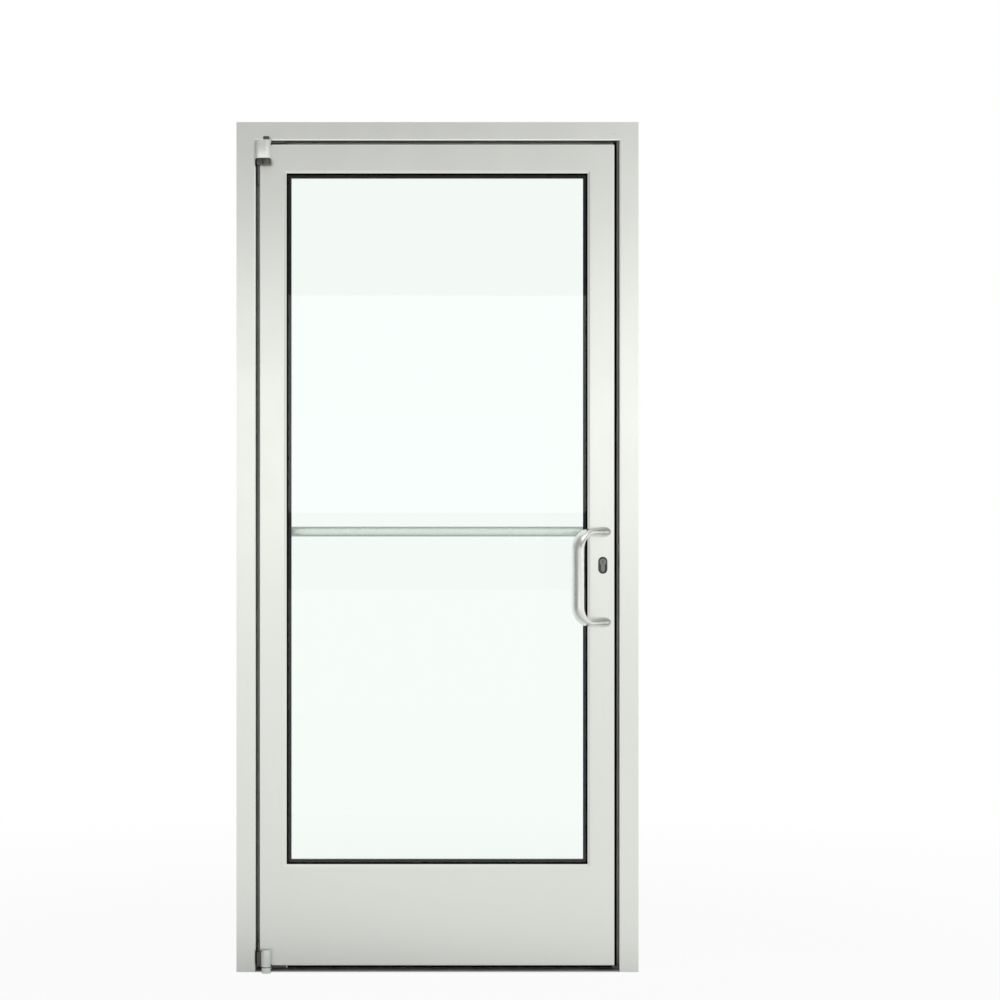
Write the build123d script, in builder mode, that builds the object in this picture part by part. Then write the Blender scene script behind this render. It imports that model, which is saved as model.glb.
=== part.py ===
from build123d import *
import math
import os

# Aluminium entrance door with its frame.
# X runs along the width with the hinge side at -X, the outside faces -Y and +Z is up.
# The origin is on the floor, midway between the jambs and midway through the frame's depth.
# All lengths are in millimetres.

# Frame
frame_width = 1016.0
frame_height = 2148.0
frame_depth = 114.3
jamb_face = 49.0
head_face = 47.0
frame_wall = 3.0
frame_outer_radius = 0.8
frame_inner_radius = 4.0
raceway_width = 22.0
raceway_depth = 9.0

# Threshold
threshold_height = 8.0
threshold_slope = 16.0
threshold_lip = 3.0
threshold_wall = 2.6
threshold_groove_width = 4.0
threshold_groove_depth = 0.9
threshold_groove_pitch = 9.0
threshold_grooves = 8
threshold_end_gap = 0.3

# Running gaps round the leaf
hinge_gap = 8.6
lock_gap = 11.0
head_gap = 8.5
sill_gap = 7.5
leaf_recess = 5.0

# Leaf
leaf_thickness = 44.45
stile_width = 54.0
top_rail_height = 58.5
bottom_rail_height = 241.5
leaf_wall = 3.2
leaf_edge_radius = 3.0
rail_web_height = 120.0

# Glazing
stop_width = 14.5
stop_setback = 0.6
stop_bevel_width = 6.5
stop_bevel_depth = 4.0
gasket_thickness = 3.0
gasket_lip = 4.0
gasket_hidden = 6.0
gasket_lip_bevel = 1.6
gasket_joint = 0.1
pane_arris = 0.5
pane_thickness = 6.0
pane_gap = 13.4
pane_edge_gap = 4.5
spacer_width = 21.0
spacer_inset = 0.6
setting_block_length = 100.0

# Door stops and weather seals
door_stop_width = 16.0
door_stop_depth = 34.0
door_stop_wall = 1.8
door_stop_leg = 7.0
door_stop_leg_gap = 0.25
seal_radius = 4.0
seal_height = 6.0
seal_wall = 1.2
seal_rest_gap = 0.3

# Offset pivots
pivot_inset = 19.0
pivot_offset = 19.0
knuckle_radius = 12.0
knuckle_edge = 0.8
pivot_pin_radius = 6.0
bushing_wall = 2.0
running_clearance = 0.05
knuckle_gap = 0.4
arm_plate = 4.0
arm_neck = 12.0
arm_plate_reach = 36.0
top_knuckle_height = 46.5
top_arm_knuckle = 16.0
top_arm_plate_height = 62.0
pin_head_radius = 8.0
pin_head_height = 9.0
bracket_plate = 5.5
bracket_overhang = 16.0
bracket_setback = 12.0
bracket_width = 58.0
bracket_reach = 52.0
bracket_corner = 6.0
bracket_screw_pitch = 18.0
bracket_screw_setback = 26.0
bracket_screws = 3
bottom_foot_height = 14.0
bottom_knuckle_height = 41.0
bottom_arm_plate_height = 60.0
pin_floor = 2.0
pin_top_gap = 4.0
neck_shoulder = 3.0
arm_screw_pitch = 22.0
arm_screw_edge = 12.0
washer_thickness = 1.2

# Screws, shared
screw_radius = 2.4
screw_head_radius = 4.6
screw_head_height = 2.6
screw_clearance = 0.2
screw_length = 12.0
recess_radius = 1.6
recess_depth = 1.4

# Joints between the extrusions
cleat_leg = 75.0
cleat_thickness = 5.0
cleat_width = 90.0
cleat_screw_pitch = 50.0
cleat_screw_edge = 18.0
tie_rod_radius = 4.8
tie_rod_nut_radius = 9.0
tie_rod_nut_height = 8.0
tie_rod_end = 3.0
corner_block_length = 60.0
corner_block_wall = 4.0
block_play = 0.3

# Pull and push bar
handle_centres = 228.6
handle_foot_radius = 12.7
handle_foot_straight = 6.0
handle_neck_straight = 4.0
handle_width = 38.0
handle_thickness = 18.0
handle_reach = 95.0
handle_turn = 45.0
handle_bend = 43.0
handle_height = 1112.0
push_bar_radius = 12.7
push_bar_reach = 65.0
push_bar_bend = 48.0
bolt_radius = 4.0
bolt_thread_depth = 20.0
pull_thread_depth = 10.0
bolt_cap_radius = 9.0
bolt_cap_height = 6.0
bolt_cap_edge = 1.5
stud_head_radius = 7.0
stud_head_height = 5.0

# Lock
backset = 30.0
cylinder_below_handle = 76.0
cylinder_radius = 8.5
cylinder_web = 10.0
cylinder_drop = 24.5
cylinder_proud = 4.0
plug_radius = 6.5
keyway_width = 2.4
keyway_height = 8.0
keyway_depth = 10.0
cam_radius = 14.5
cam_width = 10.0
cam_hub = 8.0
cam_lever = 8.0
escutcheon_width = 23.0
escutcheon_height = 43.0
escutcheon_thickness = 3.2
escutcheon_edge = 0.8
cylinder_screw_drop = 20.0
cylinder_screw_length = 36.0
thumbturn_length = 30.0
thumbturn_width = 16.0
thumbturn_thickness = 10.0
thumbturn_neck = 2.0
thumbturn_edge = 1.5
rose_drop = 8.0
case_height = 130.0
case_rise = 4.0
case_wall = 1.5
case_thickness = 16.0
case_end_gap = 3.0
faceplate_height = 180.0
faceplate_width = 22.0
faceplate_thickness = 3.0
faceplate_corner = 2.0
stile_backing = 6.0
faceplate_screw_edge = 10.0
bolt_height = 28.0
bolt_thickness = 12.0
bolt_length = 40.0
bolt_rise = 34.0
bolt_setback = 0.5
bolt_edge = 1.5
bolt_play = 0.6
pocket_play = 2.4
strike_height = 90.0
strike_width = 30.0
strike_thickness = 2.4
strike_backing = 6.0
strike_screw_edge = 12.0

# Sweep under the leaf
sweep_carrier_width = 20.0
sweep_carrier_height = 3.0
sweep_blade_width = 6.0
sweep_floor_gap = 0.4
sweep_start = 70.0
sweep_end = 6.0

# Anchor holes for the installer's fixings
anchor_radius = 3.4
anchor_edge = 224.0
anchor_inner_pitch = 600.0
sill_anchor_radius = 2.6
sill_anchor_head = 5.2
sill_anchor_pitch = 700.0

# Places that follow from the sizes
front = -frame_depth / 2
jamb_in = frame_width / 2 - jamb_face
head_under = frame_height - head_face
leaf_left = -jamb_in + hinge_gap
leaf_right = jamb_in - lock_gap
leaf_bottom = threshold_height + sill_gap
leaf_top = head_under - head_gap
leaf_front = front + leaf_recess
leaf_back = leaf_front + leaf_thickness
leaf_mid = (leaf_front + leaf_back) / 2
stile_in_left = leaf_left + stile_width
stile_in_right = leaf_right - stile_width
rail_in_bottom = leaf_bottom + bottom_rail_height
rail_in_top = leaf_top - top_rail_height
unit_thickness = 2 * pane_thickness + pane_gap
unit_front = leaf_mid - unit_thickness / 2
unit_back = leaf_mid + unit_thickness / 2
pivot_x = leaf_left + pivot_inset
pivot_y = leaf_front - pivot_offset

plate_middle_x = pivot_x - knuckle_radius + bracket_width / 2
plate_screw_y = front + bracket_screw_setback
plate_screws = [
    (plate_middle_x + (n - (bracket_screws - 1) / 2) * bracket_screw_pitch, plate_screw_y)
    for n in range(bracket_screws)
]

cylinder_height = handle_height - cylinder_below_handle
bolt_z = cylinder_height + bolt_rise
case_z = cylinder_height + case_rise

# The leaf's heel swings this far behind its back face as the door starts to open
heel_reach = pivot_offset + leaf_thickness
heel_swell = math.hypot(pivot_inset, heel_reach) - heel_reach
seal_swing_gap = heel_swell + seal_rest_gap
door_stop_front = leaf_back + seal_swing_gap + seal_height
door_stop_middle = door_stop_front + door_stop_depth / 2

os.makedirs("parts", exist_ok=True)


def keep(builder, name):
    """Label a finished piece and write it as its own file."""
    builder.part.label = name
    export_step(builder.part, f"parts/{name}.step")


def at_y(y):
    """Upright plane across the door at depth y; extruding by a negative amount goes towards the back."""
    return Plane.XZ.offset(-y)


def at_x(x):
    """Upright plane through the door's depth at x; extruding by a positive amount goes towards +X."""
    return Plane.YZ.offset(x)


def at_z(z):
    """Level plane at height z."""
    return Plane.XY.offset(z)


def mitre(side):
    """Plane through the frame's corner on one side, its normal towards the jamb."""
    corner = (side * jamb_in, 0, head_under)
    return Plane(origin=corner, z_dir=(side * head_face, 0, -jamb_face))


def cleat_screw_planes(side):
    """Planes of one corner cleat's screws, by turns through the jamb's outer wall and the head's top."""
    reach = cleat_leg - cleat_screw_edge
    wall_x = side * frame_width / 2
    planes = []
    for y in (-cleat_screw_pitch / 2, cleat_screw_pitch / 2):
        jamb_place = (wall_x, y, frame_height - frame_wall - reach)
        head_place = (wall_x - side * (frame_wall + reach), y, frame_height)
        planes.append(Plane(origin=jamb_place, x_dir=(0, 1, 0), z_dir=(side, 0, 0)))
        planes.append(Plane(origin=head_place, x_dir=(1, 0, 0), z_dir=(0, 0, 1)))
    return planes


def turned(plane, points, mode=Mode.ADD):
    """Solid of revolution about the plane's normal; points are (radius, height along the normal)."""
    with BuildSketch(Plane(origin=plane.origin, x_dir=plane.x_dir, z_dir=-plane.y_dir)) as half:
        with BuildLine():
            Polyline(*points, close=True)
        make_face()
    revolve(half.sketch, axis=Axis(plane.origin, plane.z_dir), mode=mode)


def screw(plane, length):
    """Countersunk screw: its head lies flush in the plane and its shank runs against the plane's normal."""
    flush = (screw_head_radius, 0)
    neck = (screw_radius, -screw_head_height)
    tip = (screw_radius, -length)
    turned(plane, [(0, 0), flush, neck, tip, (0, -length)])
    with BuildSketch(plane) as recess:
        RegularPolygon(recess_radius, 4)
    extrude(recess.sketch, amount=-recess_depth, mode=Mode.SUBTRACT)


def screw_hole(plane, depth):
    """Tapped hole under a screw, and the seat of its head, cut where the plane lies."""
    hole = screw_radius + running_clearance
    seat = screw_head_radius + running_clearance
    points = [(0, 0), (seat, 0), (hole, -screw_head_height), (hole, -depth), (0, -depth)]
    turned(plane, points, mode=Mode.SUBTRACT)


def edges_of(x0, x1, z0, z1):
    """The four edges of an upright rectangle, as planes looking along each edge with x pointing inwards."""
    return {
        "hinge": (Plane(origin=(x0, 0, z0), x_dir=(1, 0, 0), z_dir=(0, 0, 1)), z1 - z0),
        "top": (Plane(origin=(x0, 0, z1), x_dir=(0, 0, -1), z_dir=(1, 0, 0)), x1 - x0),
        "lock": (Plane(origin=(x1, 0, z1), x_dir=(-1, 0, 0), z_dir=(0, 0, -1)), z1 - z0),
        "bottom": (Plane(origin=(x1, 0, z0), x_dir=(0, 0, 1), z_dir=(-1, 0, 0)), x1 - x0),
    }


def mitred_bar(edge, points, joint=0.0):
    """Bar of the given (inwards, depth) section along one edge, mitred at both ends less a joint each."""
    plane, length = edge
    with BuildPart() as bar:
        with BuildSketch(plane):
            with BuildLine():
                Polyline(*points, close=True)
            make_face()
        extrude(amount=length)
        start = plane.origin + plane.z_dir * joint
        split(bisect_by=Plane(origin=start, z_dir=plane.z_dir - plane.x_dir), keep=Keep.TOP)
        end = plane.origin + plane.z_dir * (length - joint)
        split(bisect_by=Plane(origin=end, z_dir=-(plane.z_dir + plane.x_dir)), keep=Keep.TOP)
    return bar


# Jambs: full-height tubes with a raceway that takes the door stop's legs
def jamb(side):
    """Hollow jamb for one side, -1 the hinge side and +1 the lock side, still without the lock's pocket."""
    middle = side * (frame_width / 2 - jamb_face / 2)
    inner_face = side * jamb_in
    with BuildPart() as tube:
        with BuildSketch(at_z(0)) as section:
            with Locations((middle, 0)):
                Rectangle(jamb_face, frame_depth)
            by_x = section.vertices().group_by(Axis.X)
            inside, outside = by_x if side > 0 else reversed(by_x)
            fillet(inside, frame_inner_radius)
            fillet(outside, frame_outer_radius)
            with Locations((middle, 0)):
                Rectangle(jamb_face - 2 * frame_wall, frame_depth - 2 * frame_wall, mode=Mode.SUBTRACT)
            race_middle = inner_face + side * raceway_depth / 2
            with Locations((race_middle + side * frame_wall / 2, door_stop_middle)):
                Rectangle(raceway_depth + frame_wall, raceway_width + 2 * frame_wall)
            with Locations((race_middle, door_stop_middle)):
                Rectangle(raceway_depth, raceway_width, mode=Mode.SUBTRACT)
        extrude(amount=frame_height)
        split(bisect_by=mitre(side), keep=Keep.TOP)
        if side > 0:
            # Thickened stretch that backs the strike plate
            with Locations((jamb_in + strike_backing / 2, leaf_mid, bolt_z)):
                Box(strike_backing, strike_width + 2 * frame_wall, strike_height + 2 * frame_wall)
        # Anchor holes in the outer wall only
        with BuildSketch(at_x(side * frame_width / 2)):
            for pitch in (frame_height - 2 * anchor_edge, anchor_inner_pitch):
                with Locations((0, (frame_height - pitch) / 2), (0, (frame_height + pitch) / 2)):
                    Circle(anchor_radius)
        extrude(amount=-side * (frame_wall + running_clearance), mode=Mode.SUBTRACT)
        for plane in cleat_screw_planes(side)[::2]:
            screw_hole(plane, frame_wall)
    return tube


keep(jamb(-1), "hinge_jamb")

with BuildPart() as lock_jamb:
    add(jamb(1).part)
    # Seat for the strike plate and the pocket behind it
    with BuildSketch(at_x(jamb_in)):
        with Locations((leaf_mid, bolt_z)):
            Rectangle(strike_width + screw_clearance, strike_height + screw_clearance)
    extrude(amount=strike_thickness, mode=Mode.SUBTRACT)
    with BuildSketch(at_x(jamb_in)):
        with Locations((leaf_mid, bolt_z)):
            Rectangle(bolt_thickness + 2 * pocket_play, bolt_height + 2 * pocket_play)
            with GridLocations(0, strike_height - 2 * strike_screw_edge, 1, 2):
                Circle(screw_radius + screw_clearance)
    extrude(amount=strike_backing, mode=Mode.SUBTRACT)
keep(lock_jamb, "lock_jamb")

# Head: mitred to the jambs
head_middle = frame_height - head_face / 2
with BuildPart() as head:
    with BuildSketch(at_x(-frame_width / 2)) as head_section:
        with Locations((0, head_middle)):
            Rectangle(frame_depth, head_face)
        under, top = head_section.vertices().group_by(Axis.Y)
        fillet(under, frame_inner_radius)
        fillet(top, frame_outer_radius)
        with Locations((0, head_middle)):
            Rectangle(frame_depth - 2 * frame_wall, head_face - 2 * frame_wall, mode=Mode.SUBTRACT)
        race_z = head_under + (raceway_depth + frame_wall) / 2
        with Locations((door_stop_middle, race_z)):
            Rectangle(raceway_width + 2 * frame_wall, raceway_depth + frame_wall)
        with Locations((door_stop_middle, head_under + raceway_depth / 2)):
            Rectangle(raceway_width, raceway_depth, mode=Mode.SUBTRACT)
    extrude(amount=frame_width)
    for side in (-1, 1):
        split(bisect_by=mitre(side), keep=Keep.BOTTOM)
        for plane in cleat_screw_planes(side)[1::2]:
            screw_hole(plane, frame_wall)
    with BuildSketch(at_z(head_under)):
        with Locations(*plate_screws):
            Circle(screw_radius + running_clearance)
    extrude(amount=raceway_depth, mode=Mode.SUBTRACT)
keep(head, "head")

# Corner cleats: angles inside the frame's upper corners
with BuildPart() as corner_cleats:
    for side in (-1, 1):
        outer_x = side * (frame_width / 2 - frame_wall)
        outer_z = frame_height - frame_wall
        with BuildSketch(at_y(-cleat_width / 2)) as angle:
            with BuildLine():
                Polyline(
                    (outer_x, outer_z),
                    (outer_x - side * cleat_leg, outer_z),
                    (outer_x - side * cleat_leg, outer_z - cleat_thickness),
                    (outer_x - side * cleat_thickness, outer_z - cleat_thickness),
                    (outer_x - side * cleat_thickness, outer_z - cleat_leg),
                    (outer_x, outer_z - cleat_leg),
                    close=True,
                )
            make_face()
        extrude(angle.sketch, amount=-cleat_width)
        for plane in cleat_screw_planes(side):
            screw_hole(plane, frame_wall + cleat_thickness)
keep(corner_cleats, "corner_cleats")

# Threshold: a low fluted saddle, open underneath
threshold_length = 2 * (jamb_in - threshold_end_gap)
half_depth = frame_depth / 2
saddle_top = half_depth - threshold_slope
with BuildPart() as threshold:
    with BuildSketch(at_x(-threshold_length / 2)):
        with BuildLine():
            Polyline(
                (-half_depth, 0),
                (-half_depth, threshold_lip),
                (-saddle_top, threshold_height),
                (saddle_top, threshold_height),
                (half_depth, threshold_lip),
                (half_depth, 0),
                close=True,
            )
        make_face()
        hollow = 2 * (saddle_top - threshold_wall)
        with Locations((0, (threshold_height - threshold_wall) / 2)):
            Rectangle(hollow, threshold_height - threshold_wall, mode=Mode.SUBTRACT)
        # Legs that stand on the floor beside the anchor screws
        for y in (-hollow / 4, 0, hollow / 4):
            with Locations((y, threshold_height / 2)):
                Rectangle(2 * threshold_wall + (0 if y else 3 * sill_anchor_head), threshold_height)
        with Locations((0, threshold_height - threshold_groove_depth / 2)):
            with GridLocations(threshold_groove_pitch, 0, threshold_grooves, 1):
                Rectangle(threshold_groove_width, threshold_groove_depth, mode=Mode.SUBTRACT)
    extrude(amount=threshold_length)
    with Locations(at_z(threshold_height)):
        with GridLocations(sill_anchor_pitch, 0, 2, 1):
            CounterSinkHole(sill_anchor_radius, sill_anchor_head)
    with BuildSketch(at_z(threshold_height)):
        with Locations(*plate_screws):
            Circle(screw_radius + running_clearance)
    extrude(amount=-threshold_height, mode=Mode.SUBTRACT)
keep(threshold, "threshold")


# Door stops: hollow caps whose legs sit in the raceways
def door_stop_section():
    """Section of a door stop: the wall is at x = 0 and the cap stands off it along +x."""
    with Locations((door_stop_width / 2, 0)):
        Rectangle(door_stop_width, door_stop_depth)
        hollow_width = door_stop_width - 2 * door_stop_wall
        hollow_depth = door_stop_depth - 2 * door_stop_wall
        Rectangle(hollow_width, hollow_depth, mode=Mode.SUBTRACT)
    leg_offset = raceway_width / 2 - door_stop_leg_gap - door_stop_wall / 2
    with Locations((-door_stop_leg / 2, -leg_offset), (-door_stop_leg / 2, leg_offset)):
        Rectangle(door_stop_leg, door_stop_wall)


def seal_section(height):
    """Hollow bulb on a flat base: the base is at x = 0 and the bulb stands off it along +x."""
    run = height - seal_radius
    for grow, mode in ((0, Mode.ADD), (-seal_wall, Mode.SUBTRACT)):
        with Locations((run, 0)):
            Circle(seal_radius + grow, mode=mode)
        with Locations((run / 2, 0)):
            Rectangle(run, 2 * (seal_radius + grow), mode=mode)
    with Locations((seal_wall / 2, 0)):
        Rectangle(seal_wall, 2 * seal_radius)
    with Locations((-seal_radius / 2, 0)):
        Rectangle(seal_radius, 2 * seal_radius, mode=Mode.SUBTRACT)


stop_length = head_under - threshold_height
lock_seal_height = seal_height + seal_swing_gap - seal_rest_gap
for stop_side, side, height in (("hinge", -1, seal_height), ("lock", 1, lock_seal_height)):
    turn = 180 if side > 0 else 0
    with BuildPart() as door_stop:
        with BuildSketch(at_z(threshold_height)):
            with Locations(Location((side * jamb_in, door_stop_middle, 0), (0, 0, turn))):
                door_stop_section()
        extrude(amount=stop_length)
    keep(door_stop, f"{stop_side}_door_stop")
    seal_x = side * (jamb_in - door_stop_width / 2)
    with BuildPart() as weather_seal:
        with BuildSketch(at_z(threshold_height)):
            with Locations(Location((seal_x, door_stop_front, 0), (0, 0, -90))):
                seal_section(height)
        extrude(amount=stop_length)
    keep(weather_seal, f"{stop_side}_weather_seal")

# Head stop between the side stops, with its seal between theirs
head_stop_length = 2 * (jamb_in - door_stop_width)
with BuildPart() as head_door_stop:
    with BuildSketch(at_x(-head_stop_length / 2)):
        with Locations(Location((door_stop_middle, head_under, 0), (0, 0, -90))):
            door_stop_section()
    extrude(amount=head_stop_length)
keep(head_door_stop, "head_door_stop")

head_seal_length = 2 * (jamb_in - door_stop_width / 2 - seal_radius)
with BuildPart() as head_weather_seal:
    with BuildSketch(at_x(-head_seal_length / 2)):
        with Locations(Location((door_stop_front, head_under - door_stop_width / 2, 0), (0, 0, 180))):
            seal_section(seal_height)
    extrude(amount=head_seal_length)
keep(head_weather_seal, "head_weather_seal")

# Strike plate, flush in the lock jamb
with BuildPart() as strike_plate:
    with BuildSketch(at_x(jamb_in)):
        with Locations((leaf_mid, bolt_z)):
            Rectangle(strike_width, strike_height)
            Rectangle(bolt_thickness + 2 * pocket_play, bolt_height + 2 * pocket_play, mode=Mode.SUBTRACT)
    extrude(amount=strike_thickness)
    with Locations(Plane(origin=(jamb_in, leaf_mid, bolt_z), x_dir=(0, 1, 0), z_dir=(-1, 0, 0))):
        with GridLocations(0, strike_height - 2 * strike_screw_edge, 1, 2):
            CounterSinkHole(screw_radius + screw_clearance, screw_head_radius + screw_clearance)
keep(strike_plate, "strike_plate")


# Offset pivots: knuckles on one axis in front of the leaf's face
top_arm_top = head_under - top_knuckle_height - knuckle_gap
top_arm_bottom = top_arm_top - top_arm_knuckle
bottom_arm_bottom = bottom_foot_height + washer_thickness + knuckle_gap
bottom_arm_top = bottom_arm_bottom + bottom_knuckle_height
bushing_radius = pivot_pin_radius + running_clearance + bushing_wall


def pivot_plate(z):
    """Plate set back above or below the leaf, and the web that joins it to the pivot axis."""
    plate_front = front + bracket_setback
    plate_back = pivot_y + bracket_reach
    with BuildSketch(at_z(z)) as outline:
        with Locations((plate_middle_x, (plate_front + plate_back) / 2)):
            Rectangle(bracket_width, plate_back - plate_front)
        with Locations((pivot_x, (pivot_y + plate_back) / 2)):
            Rectangle(2 * knuckle_radius, plate_back - pivot_y)
    plate = extrude(outline.sketch, amount=bracket_plate)
    fillet(plate.edges().filter_by(Axis.Z).group_by(Axis.Y)[-1], bracket_corner)


def knuckle(z, height):
    """Upright barrel on the pivot axis with softened rims."""
    edge = knuckle_edge
    points = [
        (0, 0),
        (knuckle_radius - edge, 0),
        (knuckle_radius, edge),
        (knuckle_radius, height - edge),
        (knuckle_radius - edge, height),
        (0, height),
    ]
    turned(Plane(origin=(pivot_x, pivot_y, z)), points)


def pivot_bore(z, height, radius):
    """Bore on the pivot axis."""
    with BuildSketch(at_z(z)) as bore:
        with Locations((pivot_x, pivot_y)):
            Circle(radius)
    extrude(bore.sketch, amount=height, mode=Mode.SUBTRACT)


with BuildPart() as top_pivot_bracket:
    with BuildSketch(at_z(head_under - top_knuckle_height)) as housing_outline:
        with Locations((pivot_x - bracket_overhang / 2, pivot_y)):
            SlotCenterToCenter(bracket_overhang, 2 * knuckle_radius)
    housing = extrude(housing_outline.sketch, amount=top_knuckle_height)
    rims = housing.edges().group_by(Axis.Z)
    chamfer(rims[0] + rims[-1], knuckle_edge)
    pivot_plate(head_under - bracket_plate)
    pivot_bore(head_under - top_knuckle_height, top_knuckle_height, pivot_pin_radius + running_clearance)
    for x, y in plate_screws:
        under_plate = (x, y, head_under - bracket_plate)
        screw_hole(Plane(origin=under_plate, x_dir=(1, 0, 0), z_dir=(0, 0, -1)), bracket_plate)
keep(top_pivot_bracket, "top_pivot_bracket")

pin_bottom = top_arm_bottom + pin_top_gap
with BuildPart() as top_pivot_pin:
    head_edge = pin_head_radius - knuckle_edge
    points = [
        (0, pin_bottom),
        (pivot_pin_radius, pin_bottom),
        (pivot_pin_radius, head_under),
        (pin_head_radius, head_under),
        (pin_head_radius, head_under + pin_head_height - knuckle_edge),
        (head_edge, head_under + pin_head_height),
        (0, head_under + pin_head_height),
    ]
    turned(Plane(origin=(pivot_x, pivot_y, 0)), points)
keep(top_pivot_pin, "top_pivot_pin")

with BuildPart() as bottom_pivot_base:
    pivot_plate(threshold_height)
    knuckle(0, bottom_foot_height)
    pivot_bore(pin_floor, bottom_foot_height - pin_floor, pivot_pin_radius + running_clearance)
    for x, y in plate_screws:
        screw_hole(Plane(origin=(x, y, threshold_height + bracket_plate)), bracket_plate)
keep(bottom_pivot_base, "bottom_pivot_base")

# Alike screws of the frame: in the bracket, the base, the strike plate and the corner cleats
with BuildPart() as frame_screws:
    for x, y in plate_screws:
        seat = (x, y, head_under - bracket_plate)
        screw(Plane(origin=seat, x_dir=(1, 0, 0), z_dir=(0, 0, -1)), screw_length)
        screw(Plane(origin=(x, y, threshold_height + bracket_plate)), screw_length)
    for side in (-1, 1):
        seat = (jamb_in, leaf_mid, bolt_z + side * (strike_height / 2 - strike_screw_edge))
        screw(Plane(origin=seat, x_dir=(0, 1, 0), z_dir=(-1, 0, 0)), screw_length)
        for plane in cleat_screw_planes(side):
            screw(plane, screw_length)
keep(frame_screws, "frame_screws")

with BuildPart() as bottom_pivot_pin:
    with BuildSketch(at_z(pin_floor)):
        with Locations((pivot_x, pivot_y)):
            Circle(pivot_pin_radius)
    extrude(amount=bottom_arm_top - pin_top_gap - running_clearance - pin_floor)
    chamfer(bottom_pivot_pin.edges().sort_by(Axis.Z)[-1], knuckle_edge)
keep(bottom_pivot_pin, "bottom_pivot_pin")


def arm_screw_planes(plate_bottom, plate_height):
    """Planes of the two screws that hold an arm's plate to the heel of the leaf."""
    x = leaf_left - arm_plate
    y = leaf_front + arm_plate_reach - arm_screw_edge
    middle = plate_bottom + plate_height / 2
    heights = (middle - arm_screw_pitch / 2, middle + arm_screw_pitch / 2)
    return [Plane(origin=(x, y, z), x_dir=(0, 1, 0), z_dir=(-1, 0, 0)) for z in heights]


def pivot_arm(bottom, height, neck_bottom, neck_height, plate_bottom, plate_height):
    """Arm of the leaf: a knuckle, a neck round the heel's front corner and a plate on the heel's edge."""
    knuckle(bottom, height)
    with BuildSketch(at_z(neck_bottom)) as neck:
        with Locations(((leaf_left - arm_plate + pivot_x) / 2, pivot_y)):
            Rectangle(pivot_inset + arm_plate, arm_neck)
    extrude(neck.sketch, amount=neck_height)
    plate_front = pivot_y - arm_neck / 2
    plate_back = leaf_front + arm_plate_reach
    with BuildSketch(at_z(neck_bottom)) as cheek:
        with Locations((leaf_left - arm_plate / 2, (plate_front + leaf_front) / 2)):
            Rectangle(arm_plate, leaf_front - plate_front)
    extrude(cheek.sketch, amount=neck_height)
    with BuildSketch(at_z(plate_bottom)) as heel_plate:
        with Locations((leaf_left - arm_plate / 2, (leaf_front + plate_back) / 2)):
            Rectangle(arm_plate, plate_back - leaf_front)
    extrude(heel_plate.sketch, amount=plate_height)
    for plane in arm_screw_planes(plate_bottom, plate_height):
        screw_hole(plane, arm_plate)


top_plate_bottom = top_arm_top - top_arm_plate_height
bottom_plate_bottom = bottom_arm_bottom
with BuildPart() as top_pivot_arm:
    knuckle_span = (top_arm_bottom, top_arm_knuckle)
    pivot_arm(*knuckle_span, *knuckle_span, top_plate_bottom, top_arm_plate_height)
    pivot_bore(top_arm_bottom, top_arm_knuckle, bushing_radius + running_clearance)
keep(top_pivot_arm, "top_pivot_arm")

with BuildPart() as bottom_pivot_arm:
    neck_height = bottom_knuckle_height - 2 * neck_shoulder
    pivot_arm(
        bottom_arm_bottom,
        bottom_knuckle_height,
        bottom_arm_bottom + neck_shoulder,
        neck_height,
        bottom_plate_bottom,
        bottom_arm_plate_height,
    )
    pivot_bore(bottom_arm_bottom, bottom_knuckle_height - pin_top_gap, bushing_radius + running_clearance)
keep(bottom_pivot_arm, "bottom_pivot_arm")

bottom_bushing_height = bottom_knuckle_height - pin_top_gap
with BuildPart() as pivot_bushings:
    for z, height in ((top_arm_bottom, top_arm_knuckle), (bottom_arm_bottom, bottom_bushing_height)):
        with BuildSketch(at_z(z)) as ring:
            with Locations((pivot_x, pivot_y)):
                Circle(bushing_radius)
                Circle(pivot_pin_radius + running_clearance, mode=Mode.SUBTRACT)
        extrude(ring.sketch, amount=height)
keep(pivot_bushings, "pivot_bushings")

with BuildPart() as thrust_washer:
    with BuildSketch(at_z(bottom_arm_bottom - washer_thickness)):
        with Locations((pivot_x, pivot_y)):
            Circle(knuckle_radius - knuckle_edge)
            Circle(pivot_pin_radius + running_clearance, mode=Mode.SUBTRACT)
    extrude(amount=washer_thickness)
keep(thrust_washer, "thrust_washer")

arm_planes = arm_screw_planes(top_plate_bottom, top_arm_plate_height)
arm_planes += arm_screw_planes(bottom_plate_bottom, bottom_arm_plate_height)
# Leaf: stiles, full height, and rails between them
stile_x = {"hinge": leaf_left + stile_width / 2, "lock": leaf_right - stile_width / 2}
lower_cell = (leaf_bottom + leaf_wall, leaf_bottom + rail_web_height - leaf_wall / 2)
upper_cell = (rail_in_top + leaf_wall, leaf_top - leaf_wall)
tie_heights = [sum(lower_cell) / 2, sum(upper_cell) / 2]
leaf_height = leaf_top - leaf_bottom
handle_low = handle_height - handle_centres
tie_places = [(leaf_mid, z) for z in tie_heights]
cylinder_x = leaf_right - backset



def stile(side, middle):
    """Tube of one stile, its corners and ends rounded on all but the glass side, still without holes."""
    with BuildPart() as tube:
        with BuildSketch(at_z(leaf_bottom)):
            with Locations((middle, leaf_mid)):
                Rectangle(stile_width, leaf_thickness)
        extrude(amount=leaf_height)
        glass_side = tube.faces().filter_by(Axis.X).sort_by(Axis.X)[0 if side > 0 else -1]
        fillet(tube.edges() - glass_side.edges(), leaf_edge_radius)
        with BuildSketch(at_z(leaf_bottom)) as bore:
            with Locations((middle, leaf_mid)):
                Rectangle(stile_width - 2 * leaf_wall, leaf_thickness - 2 * leaf_wall)
        extrude(bore.sketch, amount=leaf_height, mode=Mode.SUBTRACT)
    return tube


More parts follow.
